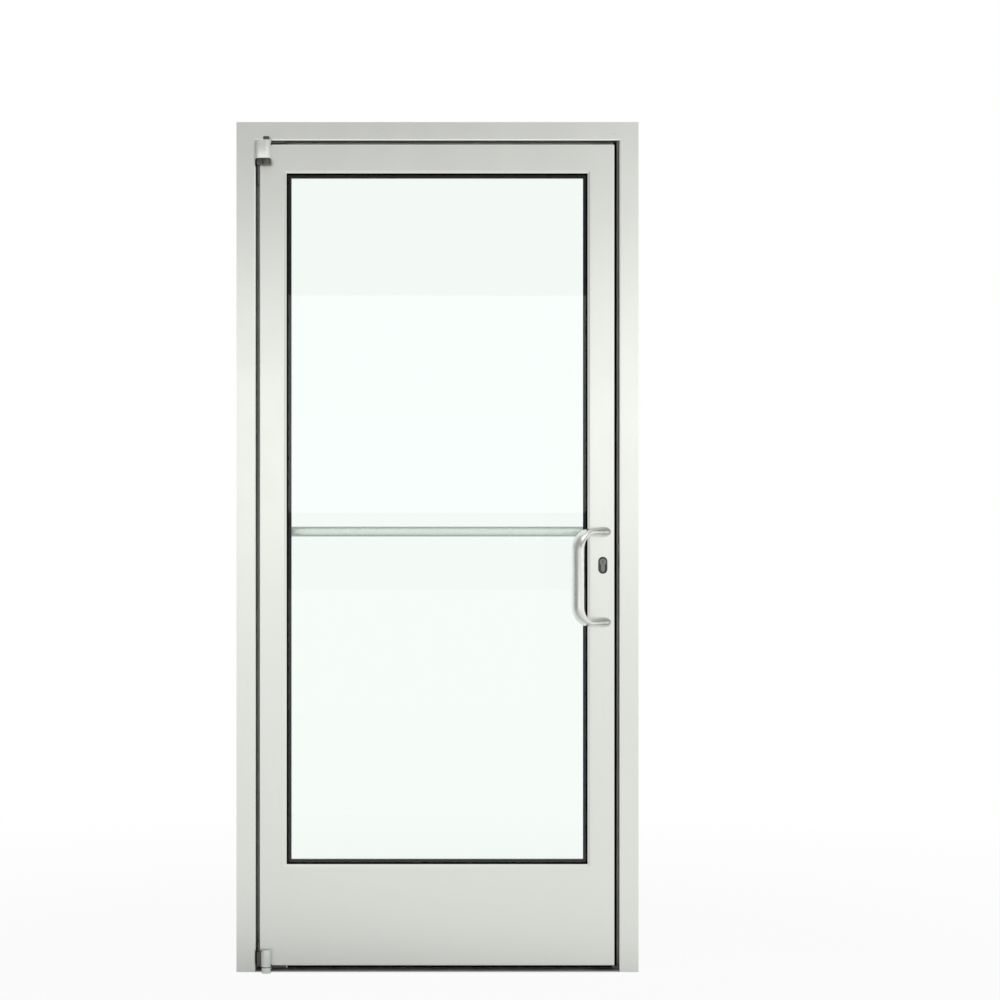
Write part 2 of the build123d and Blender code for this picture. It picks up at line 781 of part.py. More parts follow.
with BuildPart() as hinge_stile:
    add(stile(-1, stile_x["hinge"]).part)
    with BuildSketch(at_x(stile_in_left)):
        with Locations(*tie_places):
            Circle(tie_rod_radius + screw_clearance)
    extrude(amount=-leaf_wall, mode=Mode.SUBTRACT)
    with BuildSketch(at_x(leaf_left)):
        with Locations(*[(plane.origin.Y, plane.origin.Z) for plane in arm_planes]):
            Circle(screw_radius + running_clearance)
    extrude(amount=leaf_wall, mode=Mode.SUBTRACT)
    with BuildSketch(at_y(leaf_back)):
        with Locations((stile_x["hinge"], handle_height)):
            Circle(bolt_radius + screw_clearance)
    extrude(amount=leaf_wall, mode=Mode.SUBTRACT)
keep(hinge_stile, "hinge_stile")


def cylinder_profile(grow=0.0):
    """Outline of the lock cylinder: a round barrel over a rounded web, drawn at the barrel's centre."""
    Circle(cylinder_radius + grow)
    web_end = cylinder_web / 2 + grow
    drop = cylinder_drop - cylinder_web / 2
    with Locations((0, -drop / 2)):
        Rectangle(2 * web_end, drop)
    with Locations((0, -drop)):
        Circle(web_end)


with BuildPart() as lock_stile:
    add(stile(1, stile_x["lock"]).part)
    # Thickened stretch that the lock's faceplate is let into
    with Locations((leaf_right - stile_backing / 2, leaf_mid, case_z)):
        Box(stile_backing, faceplate_width + 2 * leaf_wall, faceplate_height + 2 * leaf_wall)
    with BuildSketch(at_x(leaf_right)):
        with Locations((leaf_mid, case_z)):
            seat_width = faceplate_width + screw_clearance
            RectangleRounded(seat_width, faceplate_height + screw_clearance, faceplate_corner)
    extrude(amount=-faceplate_thickness, mode=Mode.SUBTRACT)
    with BuildSketch(at_x(leaf_right)):
        with Locations((leaf_mid, case_z)):
            Rectangle(case_thickness + screw_clearance, case_height + screw_clearance)
            with GridLocations(0, faceplate_height - 2 * faceplate_screw_edge, 1, 2):
                Circle(screw_radius + screw_clearance)
    extrude(amount=-stile_backing, mode=Mode.SUBTRACT)
    with BuildSketch(at_x(stile_in_right)):
        with Locations(*tie_places):
            Circle(tie_rod_radius + screw_clearance)
    extrude(amount=leaf_wall, mode=Mode.SUBTRACT)
    with BuildSketch(at_y(leaf_front)):
        with Locations((stile_x["lock"], handle_height), (stile_x["lock"], handle_low)):
            Circle(bolt_radius + screw_clearance)
        with Locations((cylinder_x, cylinder_height)):
            cylinder_profile(bolt_play)
    extrude(amount=-leaf_thickness, mode=Mode.SUBTRACT)
keep(lock_stile, "lock_stile")

rail_length = stile_in_right - stile_in_left
for rail_name, z0, height, outer, webs in (
    ("top_rail", rail_in_top, top_rail_height, -1, []),
    ("bottom_rail", leaf_bottom, bottom_rail_height, 0, [leaf_bottom + rail_web_height]),
):
    with BuildPart() as rail:
        with BuildSketch(at_x(stile_in_left)) as rail_section:
            with Locations((leaf_mid, z0 + height / 2)):
                Rectangle(leaf_thickness, height)
            fillet(rail_section.vertices().group_by(Axis.Y)[outer], leaf_edge_radius)
            with Locations((leaf_mid, z0 + height / 2)):
                Rectangle(leaf_thickness - 2 * leaf_wall, height - 2 * leaf_wall, mode=Mode.SUBTRACT)
            for web in webs:
                with Locations((leaf_mid, web)):
                    Rectangle(leaf_thickness - leaf_wall, leaf_wall)
        extrude(amount=rail_length)
    keep(rail, rail_name)

# Tie rods through both rails, nutted inside the stiles, and the blocks that square the corners
rod_end = leaf_wall + tie_rod_nut_height + tie_rod_end
with BuildPart() as tie_rods:
    with BuildSketch(at_x(stile_in_left - rod_end)):
        with Locations(*tie_places):
            Circle(tie_rod_radius)
    extrude(amount=rail_length + 2 * rod_end)
keep(tie_rods, "tie_rods")

with BuildPart() as tie_rod_nuts:
    for x, out in ((stile_in_left - leaf_wall, -1), (stile_in_right + leaf_wall, 1)):
        with BuildSketch(at_x(x)):
            with Locations(*tie_places):
                RegularPolygon(tie_rod_nut_radius, 6)
                Circle(tie_rod_radius + running_clearance, mode=Mode.SUBTRACT)
        extrude(amount=out * tie_rod_nut_height)
keep(tie_rod_nuts, "tie_rod_nuts")

cell_depth = leaf_thickness - 2 * leaf_wall - 2 * block_play
with BuildPart() as corner_blocks:
    for low, high in (lower_cell, upper_cell):
        for x, inward in ((stile_in_left, 1), (stile_in_right, -1)):
            cell_height = high - low - 2 * block_play
            with BuildSketch(at_x(x)):
                with Locations((leaf_mid, (low + high) / 2)):
                    Rectangle(cell_depth, cell_height)
                    Rectangle(
                        cell_depth - 2 * corner_block_wall,
                        cell_height - 2 * corner_block_wall,
                        mode=Mode.SUBTRACT,
                    )
            extrude(amount=inward * corner_block_length)
keep(corner_blocks, "corner_blocks")

# Glazing: snap-in stops, wedge gaskets and a sealed double unit on setting blocks
opening = edges_of(stile_in_left, stile_in_right, rail_in_bottom, rail_in_top)
for face, sign, face_y, unit_y in (("outer", 1, leaf_front, unit_front), ("inner", -1, leaf_back, unit_back)):
    proud = face_y + sign * stop_setback
    bevel_y = proud + sign * stop_bevel_depth
    seat = unit_y - sign * gasket_thickness
    bevel = [(stop_width - stop_bevel_width, proud), (stop_width, bevel_y)]
    stop_points = [(0, proud), *bevel, (stop_width, seat), (0, seat)]
    for side_name, edge in opening.items():
        stop_bar = mitred_bar(edge, stop_points)
        keep(stop_bar, f"{face}_stop_{side_name}")
    lip = stop_width + gasket_lip
    hidden = stop_width - gasket_hidden
    lip_y = seat + sign * gasket_lip_bevel
    gasket_points = [(hidden, seat), (stop_width, seat), (lip, lip_y), (lip, unit_y), (hidden, unit_y)]
    with BuildPart() as gaskets:
        for edge in opening.values():
            add(mitred_bar(edge, gasket_points, gasket_joint).part)
    keep(gaskets, f"{face}_gaskets")

unit_x = (stile_in_left + stile_in_right) / 2
unit_z = (rail_in_bottom + rail_in_top) / 2
unit_width = rail_length - 2 * pane_edge_gap
unit_height = rail_in_top - rail_in_bottom - 2 * pane_edge_gap
for pane_name, pane_y in (("outer_pane", unit_front), ("inner_pane", unit_back - pane_thickness)):
    with BuildPart() as pane:
        with BuildSketch(at_y(pane_y)):
            with Locations((unit_x, unit_z)):
                Rectangle(unit_width, unit_height)
        extrude(amount=-pane_thickness)
        chamfer(pane.edges().filter_by(Axis.Y, reverse=True), pane_arris)
    keep(pane, pane_name)

with BuildPart() as glass_spacer:
    with BuildSketch(at_y(unit_front + pane_thickness)):
        with Locations((unit_x, unit_z)):
            Rectangle(unit_width - 2 * spacer_inset, unit_height - 2 * spacer_inset)
            Rectangle(unit_width - 2 * spacer_width, unit_height - 2 * spacer_width, mode=Mode.SUBTRACT)
    extrude(amount=-pane_gap)
keep(glass_spacer, "glass_spacer")

with BuildPart() as setting_blocks:
    with Locations((unit_x, leaf_mid, rail_in_bottom + pane_edge_gap / 2)):
        with GridLocations(unit_width / 2, 0, 2, 1):
            Box(setting_block_length, unit_thickness, pane_edge_gap)
keep(setting_blocks, "setting_blocks")

# Sweep: a carrier under the leaf with a blade that clears the threshold
sweep_length = leaf_right - leaf_left - sweep_start - sweep_end
blade_bottom = threshold_height + sweep_floor_gap
with BuildPart() as bottom_sweep:
    with BuildSketch(at_x(leaf_left + sweep_start)):
        with Locations((leaf_mid, leaf_bottom - sweep_carrier_height / 2)):
            Rectangle(sweep_carrier_width, sweep_carrier_height)
        with Locations((leaf_mid, (leaf_bottom + blade_bottom) / 2)):
            Rectangle(sweep_blade_width, leaf_bottom - blade_bottom)
    extrude(amount=sweep_length)
keep(bottom_sweep, "bottom_sweep")

# Pull: an oval bar in a plane turned towards the glass, round at its feet and cut flush with the stile
turn = math.radians(handle_turn)
outward = Vector(-math.sin(turn), -math.cos(turn), 0)
across = outward.cross(Vector(0, 0, 1))
pull_plane = Plane(
    origin=(stile_x["lock"], leaf_front, handle_height - handle_centres / 2),
    x_dir=outward,
    z_dir=across,
)
neck_end = handle_reach - handle_bend - handle_neck_straight
neck_middle = (handle_foot_straight + neck_end) / 2
grip_section = (handle_width / 2, handle_thickness / 2)
foot_section = (handle_foot_radius, handle_foot_radius)
neck_section = tuple((wide + round_off) / 2 for wide, round_off in zip(grip_section, foot_section))
neck_stations = (
    (handle_foot_straight, foot_section),
    (neck_middle, neck_section),
    (neck_end, grip_section),
)
with BuildPart() as pull_handle:
    with BuildLine(pull_plane) as pull_line:
        FilletPolyline(
            (neck_end, handle_centres / 2),
            (handle_reach, handle_centres / 2),
            (handle_reach, -handle_centres / 2),
            (neck_end, -handle_centres / 2),
            radius=handle_bend,
        )
    with BuildSketch(Plane(origin=pull_line.line @ 0, x_dir=across, z_dir=outward)):
        Ellipse(*grip_section)
    sweep(path=pull_line.line)
    for end in (-1, 1):
        foot = pull_plane.from_local_coords((0, end * handle_centres / 2, 0))
        for reach, section in neck_stations:
            with BuildSketch(Plane(origin=foot + outward * reach, x_dir=across, z_dir=outward)):
                Ellipse(*section)
        loft()
        with BuildSketch(Plane(origin=foot + outward * handle_foot_straight, x_dir=across, z_dir=outward)):
            Ellipse(*foot_section)
        extrude(amount=-(handle_foot_straight + 2 * handle_foot_radius))
    split(bisect_by=at_y(leaf_front), keep=Keep.TOP)
    with BuildSketch(at_y(leaf_front)):
        with Locations((stile_x["lock"], handle_height), (stile_x["lock"], handle_low)):
            Circle(bolt_radius + running_clearance)
    extrude(amount=pull_thread_depth, mode=Mode.SUBTRACT)
keep(pull_handle, "pull_handle")

# Push bar across the back, its lock-side foot opposite the pull's upper foot
push_bar_y = leaf_back + push_bar_reach
with BuildPart() as push_bar:
    with BuildLine(at_z(handle_height)) as bar_line:
        FilletPolyline(
            (stile_x["hinge"], leaf_back),
            (stile_x["hinge"], push_bar_y),
            (stile_x["lock"], push_bar_y),
            (stile_x["lock"], leaf_back),
            radius=push_bar_bend,
        )
    with BuildSketch(Plane(origin=bar_line.line @ 0, z_dir=bar_line.line % 0)):
        Circle(push_bar_radius)
    sweep(path=bar_line.line)
    with BuildSketch(at_y(leaf_back)):
        with Locations((stile_x["hinge"], handle_height), (stile_x["lock"], handle_height)):
            Circle(bolt_radius + running_clearance)
    extrude(amount=-bolt_thread_depth, mode=Mode.SUBTRACT)
keep(push_bar, "push_bar")

# Bolts that clamp the pull and the push bar through the lock stile
outside_reach = pull_thread_depth - bolt_play
upper_bolt = outside_reach + leaf_thickness + bolt_thread_depth - bolt_play
lower_bolt = outside_reach + leaf_thickness + bolt_cap_height / 2
with BuildPart() as handle_bolts:
    for z, length in ((handle_height, upper_bolt), (handle_low, lower_bolt)):
        with BuildSketch(at_y(leaf_front - outside_reach)):
            with Locations((stile_x["lock"], z)):
                Circle(bolt_radius)
        extrude(amount=-length)
keep(handle_bolts, "handle_bolts")

cap_plane = Plane(origin=(stile_x["lock"], leaf_back, handle_low), x_dir=(1, 0, 0), z_dir=(0, 1, 0))
with BuildPart() as bolt_cap:
    rim = bolt_cap_radius - bolt_cap_edge
    shoulder = bolt_cap_height - bolt_cap_edge
    outside = [(bolt_cap_radius, 0), (bolt_cap_radius, shoulder), (rim, bolt_cap_height)]
    turned(cap_plane, [(0, 0), *outside, (0, bolt_cap_height)])
    with BuildSketch(at_y(leaf_back)):
        with Locations((stile_x["lock"], handle_low)):
            Circle(bolt_radius + running_clearance)
    extrude(amount=-bolt_cap_height / 2, mode=Mode.SUBTRACT)
keep(bolt_cap, "bolt_cap")

with BuildPart() as push_bar_stud:
    stud_seat = leaf_back - leaf_wall
    with BuildSketch(at_y(stud_seat)):
        with Locations((stile_x["hinge"], handle_height)):
            RegularPolygon(stud_head_radius, 6)
    extrude(amount=stud_head_height)
    with BuildSketch(at_y(stud_seat)):
        with Locations((stile_x["hinge"], handle_height)):
            Circle(bolt_radius)
    extrude(amount=-(leaf_wall + bolt_thread_depth - bolt_play))
keep(push_bar_stud, "push_bar_stud")

# Lock: a case in the stile behind a faceplate, worked by a profile cylinder
case_front = leaf_right - faceplate_thickness
case_back = stile_in_right + leaf_wall + case_end_gap
case_middle = (case_front + case_back) / 2
case_depth = case_front - case_back
cylinder_screw_z = cylinder_height - cylinder_screw_drop
with BuildPart() as lock_case:
    with Locations((case_middle, leaf_mid, case_z)):
        Box(case_depth, case_thickness, case_height)
        hollow = [size - 2 * case_wall for size in (case_depth, case_thickness, case_height)]
        Box(*hollow, mode=Mode.SUBTRACT)
    with BuildSketch(at_x(case_front)):
        with Locations((leaf_mid, bolt_z)):
            Rectangle(bolt_thickness + 2 * bolt_play, bolt_height + 2 * bolt_play)
        with Locations((leaf_mid, cylinder_screw_z)):
            Circle(screw_radius + screw_clearance)
    extrude(amount=-case_wall, mode=Mode.SUBTRACT)
    with BuildSketch(at_y(leaf_mid - case_thickness / 2)):
        with Locations((cylinder_x, cylinder_height)):
            cylinder_profile(screw_clearance)
    extrude(amount=-case_thickness, mode=Mode.SUBTRACT)
keep(lock_case, "lock_case")

edge_plane = Plane(origin=(leaf_right, leaf_mid, 0), x_dir=(0, 1, 0), z_dir=(1, 0, 0))
faceplate_screw_heights = [case_z + side * (faceplate_height / 2 - faceplate_screw_edge) for side in (-1, 1)]
with BuildPart() as lock_faceplate:
    with BuildSketch(at_x(leaf_right)):
        with Locations((leaf_mid, case_z)):
            RectangleRounded(faceplate_width, faceplate_height, faceplate_corner)
        with Locations((leaf_mid, bolt_z)):
            Rectangle(bolt_thickness + 2 * bolt_play, bolt_height + 2 * bolt_play, mode=Mode.SUBTRACT)
    extrude(amount=-faceplate_thickness)
    with Locations(edge_plane):
        with Locations(*[(0, z) for z in faceplate_screw_heights + [cylinder_screw_z]]):
            CounterSinkHole(screw_radius + screw_clearance, screw_head_radius + screw_clearance)
keep(lock_faceplate, "lock_faceplate")

# Alike screws of the leaf: in the pivot arms and in the faceplate
with BuildPart() as leaf_screws:
    for plane in arm_planes:
        screw(plane, screw_length)
    for z in faceplate_screw_heights:
        screw(Plane(origin=(leaf_right, leaf_mid, z), x_dir=(0, 1, 0), z_dir=(1, 0, 0)), screw_length)
keep(leaf_screws, "leaf_screws")

with BuildPart() as cylinder_screw:
    screw_seat = (leaf_right, leaf_mid, cylinder_screw_z)
    screw(Plane(origin=screw_seat, x_dir=(0, 1, 0), z_dir=(1, 0, 0)), cylinder_screw_length)
keep(cylinder_screw, "cylinder_screw")

cylinder_front = leaf_front - cylinder_proud
cylinder_length = leaf_thickness + 2 * cylinder_proud
slot_width = cam_width + 2 * screw_clearance
with BuildPart() as cylinder_body:
    with BuildSketch(at_y(cylinder_front)):
        with Locations((cylinder_x, cylinder_height)):
            cylinder_profile()
        with Locations((cylinder_x, cylinder_height)):
            Circle(plug_radius + running_clearance, mode=Mode.SUBTRACT)
    extrude(amount=-cylinder_length)
    with BuildSketch(at_y(leaf_mid - slot_width / 2)):
        with Locations((cylinder_x, cylinder_height)):
            Circle(cam_radius + screw_clearance)
    extrude(amount=-slot_width, mode=Mode.SUBTRACT)
    with BuildSketch(at_x(leaf_right)):
        with Locations((leaf_mid, cylinder_screw_z)):
            Circle(screw_radius + running_clearance)
    extrude(amount=-(cylinder_screw_length + bolt_play), mode=Mode.SUBTRACT)
keep(cylinder_body, "cylinder_body")

half_plug = (cylinder_length - slot_width) / 2
with BuildPart() as key_plug:
    with BuildSketch(at_y(cylinder_front)):
        with Locations((cylinder_x, cylinder_height)):
            Circle(plug_radius)
    extrude(amount=-half_plug)
    with BuildSketch(at_y(cylinder_front)):
        with Locations((cylinder_x, cylinder_height)):
            Rectangle(keyway_width, keyway_height)
    extrude(amount=-keyway_depth, mode=Mode.SUBTRACT)
keep(key_plug, "key_plug")

with BuildPart() as cylinder_cam:
    with BuildSketch(at_y(leaf_mid - cam_width / 2)):
        with Locations((cylinder_x, cylinder_height)):
            Circle(cam_hub)
        with Locations((cylinder_x, cylinder_height - cam_radius / 2)):
            Rectangle(cam_lever, cam_radius)
        with Locations((cylinder_x, cylinder_height)):
            Circle(cam_radius, mode=Mode.INTERSECT)
    extrude(amount=-cam_width)
keep(cylinder_cam, "cylinder_cam")

cylinder_back = leaf_back + cylinder_proud
with BuildPart() as thumbturn:
    with BuildSketch(at_y(leaf_mid + cam_width / 2)):
        with Locations((cylinder_x, cylinder_height)):
            Circle(plug_radius)
    extrude(amount=-(cylinder_back - leaf_mid - cam_width / 2 + thumbturn_neck))
    with BuildSketch(at_y(cylinder_back + thumbturn_neck)):
        with Locations((cylinder_x, cylinder_height)):
            SlotOverall(thumbturn_length, thumbturn_thickness, rotation=90)
    extrude(amount=-thumbturn_width)
    chamfer(thumbturn.faces().sort_by(Axis.Y)[-1].edges(), thumbturn_edge)
keep(thumbturn, "thumbturn")

# Oval roses round the cylinder on both faces
rose_places = {"outer_escutcheon": leaf_front - escutcheon_thickness, "inner_escutcheon": leaf_back}
for rose_name, rose_y in rose_places.items():
    with BuildPart() as rose:
        with BuildSketch(at_y(rose_y)):
            with Locations((cylinder_x, cylinder_height - rose_drop)):
                SlotOverall(escutcheon_height, escutcheon_width, rotation=90)
        extrude(amount=-escutcheon_thickness)
        outside = rose.faces().sort_by(Axis.Y)[0 if rose_y < leaf_mid else -1]
        chamfer(outside.edges(), escutcheon_edge)
        with BuildSketch(at_y(rose_y)):
            with Locations((cylinder_x, cylinder_height)):
                cylinder_profile(screw_clearance)
        extrude(amount=-escutcheon_thickness, mode=Mode.SUBTRACT)
    keep(rose, rose_name)

# Deadbolt, drawn back flush with the faceplate
bolt_tip = leaf_right - bolt_setback
with BuildPart() as deadbolt:
    with Locations((bolt_tip - bolt_length / 2, leaf_mid, bolt_z)):
        Box(bolt_length, bolt_thickness, bolt_height)
    chamfer(deadbolt.faces().sort_by(Axis.X)[-1].edges(), bolt_edge)
keep(deadbolt, "deadbolt")
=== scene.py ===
import logging
import math
from dataclasses import dataclass, field
from enum import Enum
from typing import Callable, Iterable, Sequence

import bpy
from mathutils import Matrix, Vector


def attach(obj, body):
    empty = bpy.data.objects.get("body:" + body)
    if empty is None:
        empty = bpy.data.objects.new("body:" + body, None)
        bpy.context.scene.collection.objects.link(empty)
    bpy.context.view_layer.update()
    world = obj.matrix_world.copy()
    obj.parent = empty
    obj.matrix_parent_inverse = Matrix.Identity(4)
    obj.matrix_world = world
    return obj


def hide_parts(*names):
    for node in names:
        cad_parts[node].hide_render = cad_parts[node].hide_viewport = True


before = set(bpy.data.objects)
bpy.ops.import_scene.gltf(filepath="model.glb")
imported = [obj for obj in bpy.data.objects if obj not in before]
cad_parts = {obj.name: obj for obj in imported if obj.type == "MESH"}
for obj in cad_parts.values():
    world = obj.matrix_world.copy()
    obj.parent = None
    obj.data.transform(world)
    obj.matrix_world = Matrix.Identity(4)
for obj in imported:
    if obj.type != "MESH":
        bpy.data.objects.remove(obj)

LOG = logging.getLogger("entrance_door")
# Width in metres that the picture spans at the door.
IMAGE_WIDTH_ON_DOOR = 2.527
QUARTER_TURN = math.pi / 2
# Degrees above which an edge stays crisp.
CAST_EDGE_ANGLE = 40.0
BAR_EDGE_ANGLE = 50.0
# What joins a CAD piece's triangles into plain faces again: metres, then radians.
SAME_POINT = 0.00001
FLAT_FACES = math.radians(1)
STRAIGHT_EDGES = math.radians(0.2)
# Metres that the pull and the push bar share.
BAR_RADIUS = 0.0127
BAR_HEIGHT = 1.112
WHITE = (1, 1, 1, 1)
Number = float | int
Triple = tuple[float, float, float]
Colour = Triple
Stops = Sequence[tuple[float, float]]


class Grain(Enum):
    """Direction that an extrusion was drawn in, or a bar was polished along."""

    UPRIGHT = "upright"
    LEVEL = "level"
    NONE = "none"


class Ray(Enum):
    """Kind of ray that a shader can tell apart."""

    CAMERA = "Is Camera Ray"
    GLOSSY = "Is Glossy Ray"
    SHADOW = "Is Shadow Ray"
    TRANSMISSION = "Is Transmission Ray"


class Wire:
    """A node's output that takes part in Python arithmetic by adding Math nodes."""

    def __init__(self, shop: "NodeShop", socket: bpy.types.NodeSocket) -> None:
        """Keep the socket and the tree it belongs to.

        Args:
            shop: The node tree's maker.
            socket: The output to wrap.
        """
        self.shop = shop
        self.socket = socket

    def math(self, operation: str, *values: "Wire | Number") -> "Wire":
        """Result of a Math node on the given values.

        Args:
            operation: Math node operation, such as MULTIPLY.
            values: Its inputs in order.

        Returns:
            The node's output.
        """
        return self.shop.add("ShaderNodeMath", {"operation": operation}, dict(enumerate(values)))

    def __add__(self, other: "Wire | Number") -> "Wire":
        """Sum of the two."""
        return self.math("ADD", self, other)

    def __radd__(self, other: Number) -> "Wire":
        """Sum of the two, the number first."""
        return self.math("ADD", other, self)

    def __sub__(self, other: "Wire | Number") -> "Wire":
        """This less the other."""
        return self.math("SUBTRACT", self, other)

    def __rsub__(self, other: Number) -> "Wire":
        """The number less this."""
        return self.math("SUBTRACT", other, self)

    def __mul__(self, other: "Wire | Number") -> "Wire":
        """Product of the two."""
        return self.math("MULTIPLY", self, other)

    def __lt__(self, other: "Wire | Number") -> "Wire":
        """1 where this is below the other, else 0."""
        return self.math("LESS_THAN", self, other)

    def __gt__(self, other: "Wire | Number") -> "Wire":
        """1 where this is above the other, else 0."""
        return self.math("GREATER_THAN", self, other)

    def at_least(self, other: "Wire | Number") -> "Wire":
        """The larger of the two."""
        return self.math("MAXIMUM", self, other)


class NodeShop:
    """Adds nodes to one tree."""

    def __init__(self, tree: bpy.types.NodeTree) -> None:
        """Start with an empty tree.

        Args:
            tree: The material's or world's node tree.
        """
        self.tree = tree
        tree.nodes.clear()

    def add(
        self,
        kind: str,
        settings: dict[str, object] | None = None,
        inputs: dict[str | int, object] | None = None,
        output: str | int = 0,
    ) -> Wire:
        """Add a node, set it up and link it.

        Args:
            kind: The node's type name.
            settings: Properties, set before the inputs.
            inputs: Values or wires by socket name or number.
            output: The output to return.

        Returns:
            The chosen output.
        """
        node = self.tree.nodes.new(kind)
        for key, value in (settings or {}).items():
            setattr(node, key, value)
        for key, value in (inputs or {}).items():
            if isinstance(value, Wire):
                self.tree.links.new(value.socket, node.inputs[key])
            else:
                node.inputs[key].default_value = value
        return Wire(self, node.outputs[output])

    def place(self) -> Wire:
        """The object's own coordinates."""
        return self.add("ShaderNodeTexCoord", output="Object")

    def axis(self, place: Wire, name: str) -> Wire:
        """One coordinate, X, Y or Z, of a place."""
        return self.add("ShaderNodeSeparateXYZ", inputs={0: place}, output=name)

    def ray(self, kind: Ray) -> Wire:
        """1 on rays of the kind, else 0."""
        return self.add("ShaderNodeLightPath", output=kind.value)

    def direct(self) -> Wire:
        """1 on rays from the camera and rays through glass, else 0."""
        return self.ray(Ray.CAMERA).at_least(self.ray(Ray.TRANSMISSION))

    def ramp(self, value: Wire, stops: Stops) -> Wire:
        """Grey ramp over a value.

        Args:
            value: What is looked up.
            stops: Pairs of position and grey level.

        Returns:
            The grey level.
        """
        node = self.tree.nodes.new("ShaderNodeValToRGB")
        elements = node.color_ramp.elements
        while len(elements) < len(stops):
            elements.new(0.5)
        for element, (position, level) in zip(elements, stops):
            element.position = position
            element.color = (level, level, level, 1)
        self.tree.links.new(value.socket, node.inputs["Fac"])
        return Wire(self, node.outputs["Color"])

    def blend(self, share: Wire, first: Colour | Wire, second: Colour) -> Wire:
        """Colour between two, by share.

        Args:
            share: 0 gives the first colour and 1 the second.
            first: Linear colour, or a wire that carries one.
            second: Linear colour.

        Returns:
            The mixed colour.
        """
        node = self.tree.nodes.new("ShaderNodeMix")
        node.data_type = "RGBA"
        colours = [socket for socket in node.inputs if socket.type == "RGBA"]
        if isinstance(first, Wire):
            self.tree.links.new(first.socket, colours[0])
        else:
            colours[0].default_value = (*first, 1)
        colours[1].default_value = (*second, 1)
        self.tree.links.new(share.socket, node.inputs["Factor"])
        return Wire(self, next(socket for socket in node.outputs if socket.type == "RGBA"))

    def noise(self, scale: Triple, detail: float = 2.0, offset: float = 0.0) -> Wire:
        """Noise over the object's own coordinates.

        Args:
            scale: Features per metre along x, y and z.
            detail: Octaves.
            offset: Shift that keeps two noises apart.

        Returns:
            The noise value.
        """
        moved = {"Vector": self.place(), "Scale": scale, "Location": (offset, offset, offset)}
        mapped = self.add("ShaderNodeMapping", inputs=moved)
        return self.add("ShaderNodeTexNoise", inputs={"Vector": mapped, "Scale": 1.0, "Detail": detail})

    def bump(self, height: Wire, distance: float, strength: float) -> Wire:
        """Normal from a height.

        Args:
            height: The surface's height, 0 to 1.
            distance: Depth in metres that 1 stands for.
            strength: Share of the effect.

        Returns:
            The normal.
        """
        inputs = {"Height": height, "Distance": distance, "Strength": strength}
        return self.add("ShaderNodeBump", inputs=inputs, output="Normal")

    def finish(self, surface: Wire, kind: str = "ShaderNodeOutputMaterial") -> None:
        """Link the shader to the tree's output.

        Args:
            surface: The shader.
            kind: The output node's type.
        """
        node = self.tree.nodes.new(kind)
        self.tree.links.new(surface.socket, node.inputs["Surface"])


def new_material(name: str) -> tuple[bpy.types.Material, NodeShop]:
    """A material with an empty tree.

    Args:
        name: The finish's name.

    Returns:
        The material and the maker of its nodes.
    """
    material = bpy.data.materials.new(name)
    material.use_nodes = True
    return material, NodeShop(material.node_tree)


@dataclass(frozen=True)
class DrawnMetal:
    """Metal with faint lines along its grain, soft cloudiness and handling marks."""

    name: str
    colour: Colour
    cloud: Colour
    roughness: float
    metallic: float = 1.0
    grain: Grain = Grain.NONE
    lines_per_metre: float = 500.0
    breaks_per_metre: float = 5.0
    line_depth: float = 0.00004
    line_relief: float = 0.35
    line_roughness: float = 0.03
    handling: float = 0.05
    cloud_scale: Triple = (2.2, 2.2, 1.4)
    mark_scale: Triple = (14.0, 14.0, 9.0)
    mark_edges: Stops = ((0.42, 0.0), (0.66, 1.0))

    def make(self) -> bpy.types.Material:
        """Build the finish's nodes.

        Returns:
            The finish as a material.
        """
        material, shop = new_material(self.name)
        across, along = self.lines_per_metre, self.breaks_per_metre
        scale = {
            Grain.UPRIGHT: (across, across, along),
            Grain.LEVEL: (along, across, across),
            Grain.NONE: (across, across, across),
        }[self.grain]
        lines = shop.noise(scale, detail=3.0)
        clouds = shop.noise(self.cloud_scale, detail=2.0, offset=3.0)
        marks = shop.ramp(shop.noise(self.mark_scale, detail=4.0, offset=7.0), self.mark_edges)
        rough = self.roughness + (lines - 0.5) * self.line_roughness + marks * self.handling
        surface = shop.add(
            "ShaderNodeBsdfPrincipled",
            inputs={
                "Base Color": shop.blend(clouds, self.colour, self.cloud),
                "Metallic": self.metallic,
                "Roughness": rough,
                "Normal": shop.bump(lines, self.line_depth, self.line_relief),
            },
        )
        shop.finish(surface)
        return material


@dataclass(frozen=True)
class Cast:
    """Die-cast or sanded metal with a fine even tooth. It can carry painted shade: dark behind and left of given
    limits, where the part sits in the shaded gaps round the leaf.
    """

    name: str
    colour: Colour
    roughness: float
    metallic: float = 1.0
    tooth: float = 900.0
    tooth_depth: float = 0.00006
    tooth_relief: float = 0.4
    patches: float = 30.0
    patch_shade: float = 0.86
    patch_roughness: float = 0.08
    # Painted shade: a dark colour, and the depth and side limits beyond which the casting is painted dark as the
    # gaps' shade.
    painted_shade: Colour | None = None
    painted_shade_behind: float = 0.0
    painted_shade_left_of: float = 0.0

    def make(self) -> bpy.types.Material:
        """Build the finish's nodes.

        Returns:
            The finish as a material.
        """
        material, shop = new_material(self.name)
        tooth = shop.noise((self.tooth, self.tooth, self.tooth), detail=2.0)
        clouds = shop.noise((self.patches, self.patches, self.patches), detail=3.0, offset=5.0)
        darker = tuple(self.patch_shade * part for part in self.colour)
        colour = shop.blend(clouds, self.colour, darker)
        # Painted shade: behind the depth limit or left of the side limit, the colour turns dark as the shade in the
        # gaps.
        if self.painted_shade:
            place = shop.place()
            left = shop.axis(place, "X") < self.painted_shade_left_of
            behind = shop.axis(place, "Y") > self.painted_shade_behind
            colour = shop.blend(left.at_least(behind), colour, self.painted_shade)
        surface = shop.add(
            "ShaderNodeBsdfPrincipled",
            inputs={
                "Base Color": colour,
                "Metallic": self.metallic,
                "Roughness": self.roughness + clouds * self.patch_roughness,
                "Normal": shop.bump(tooth, self.tooth_depth, self.tooth_relief),
            },
        )
        shop.finish(surface)
        return material


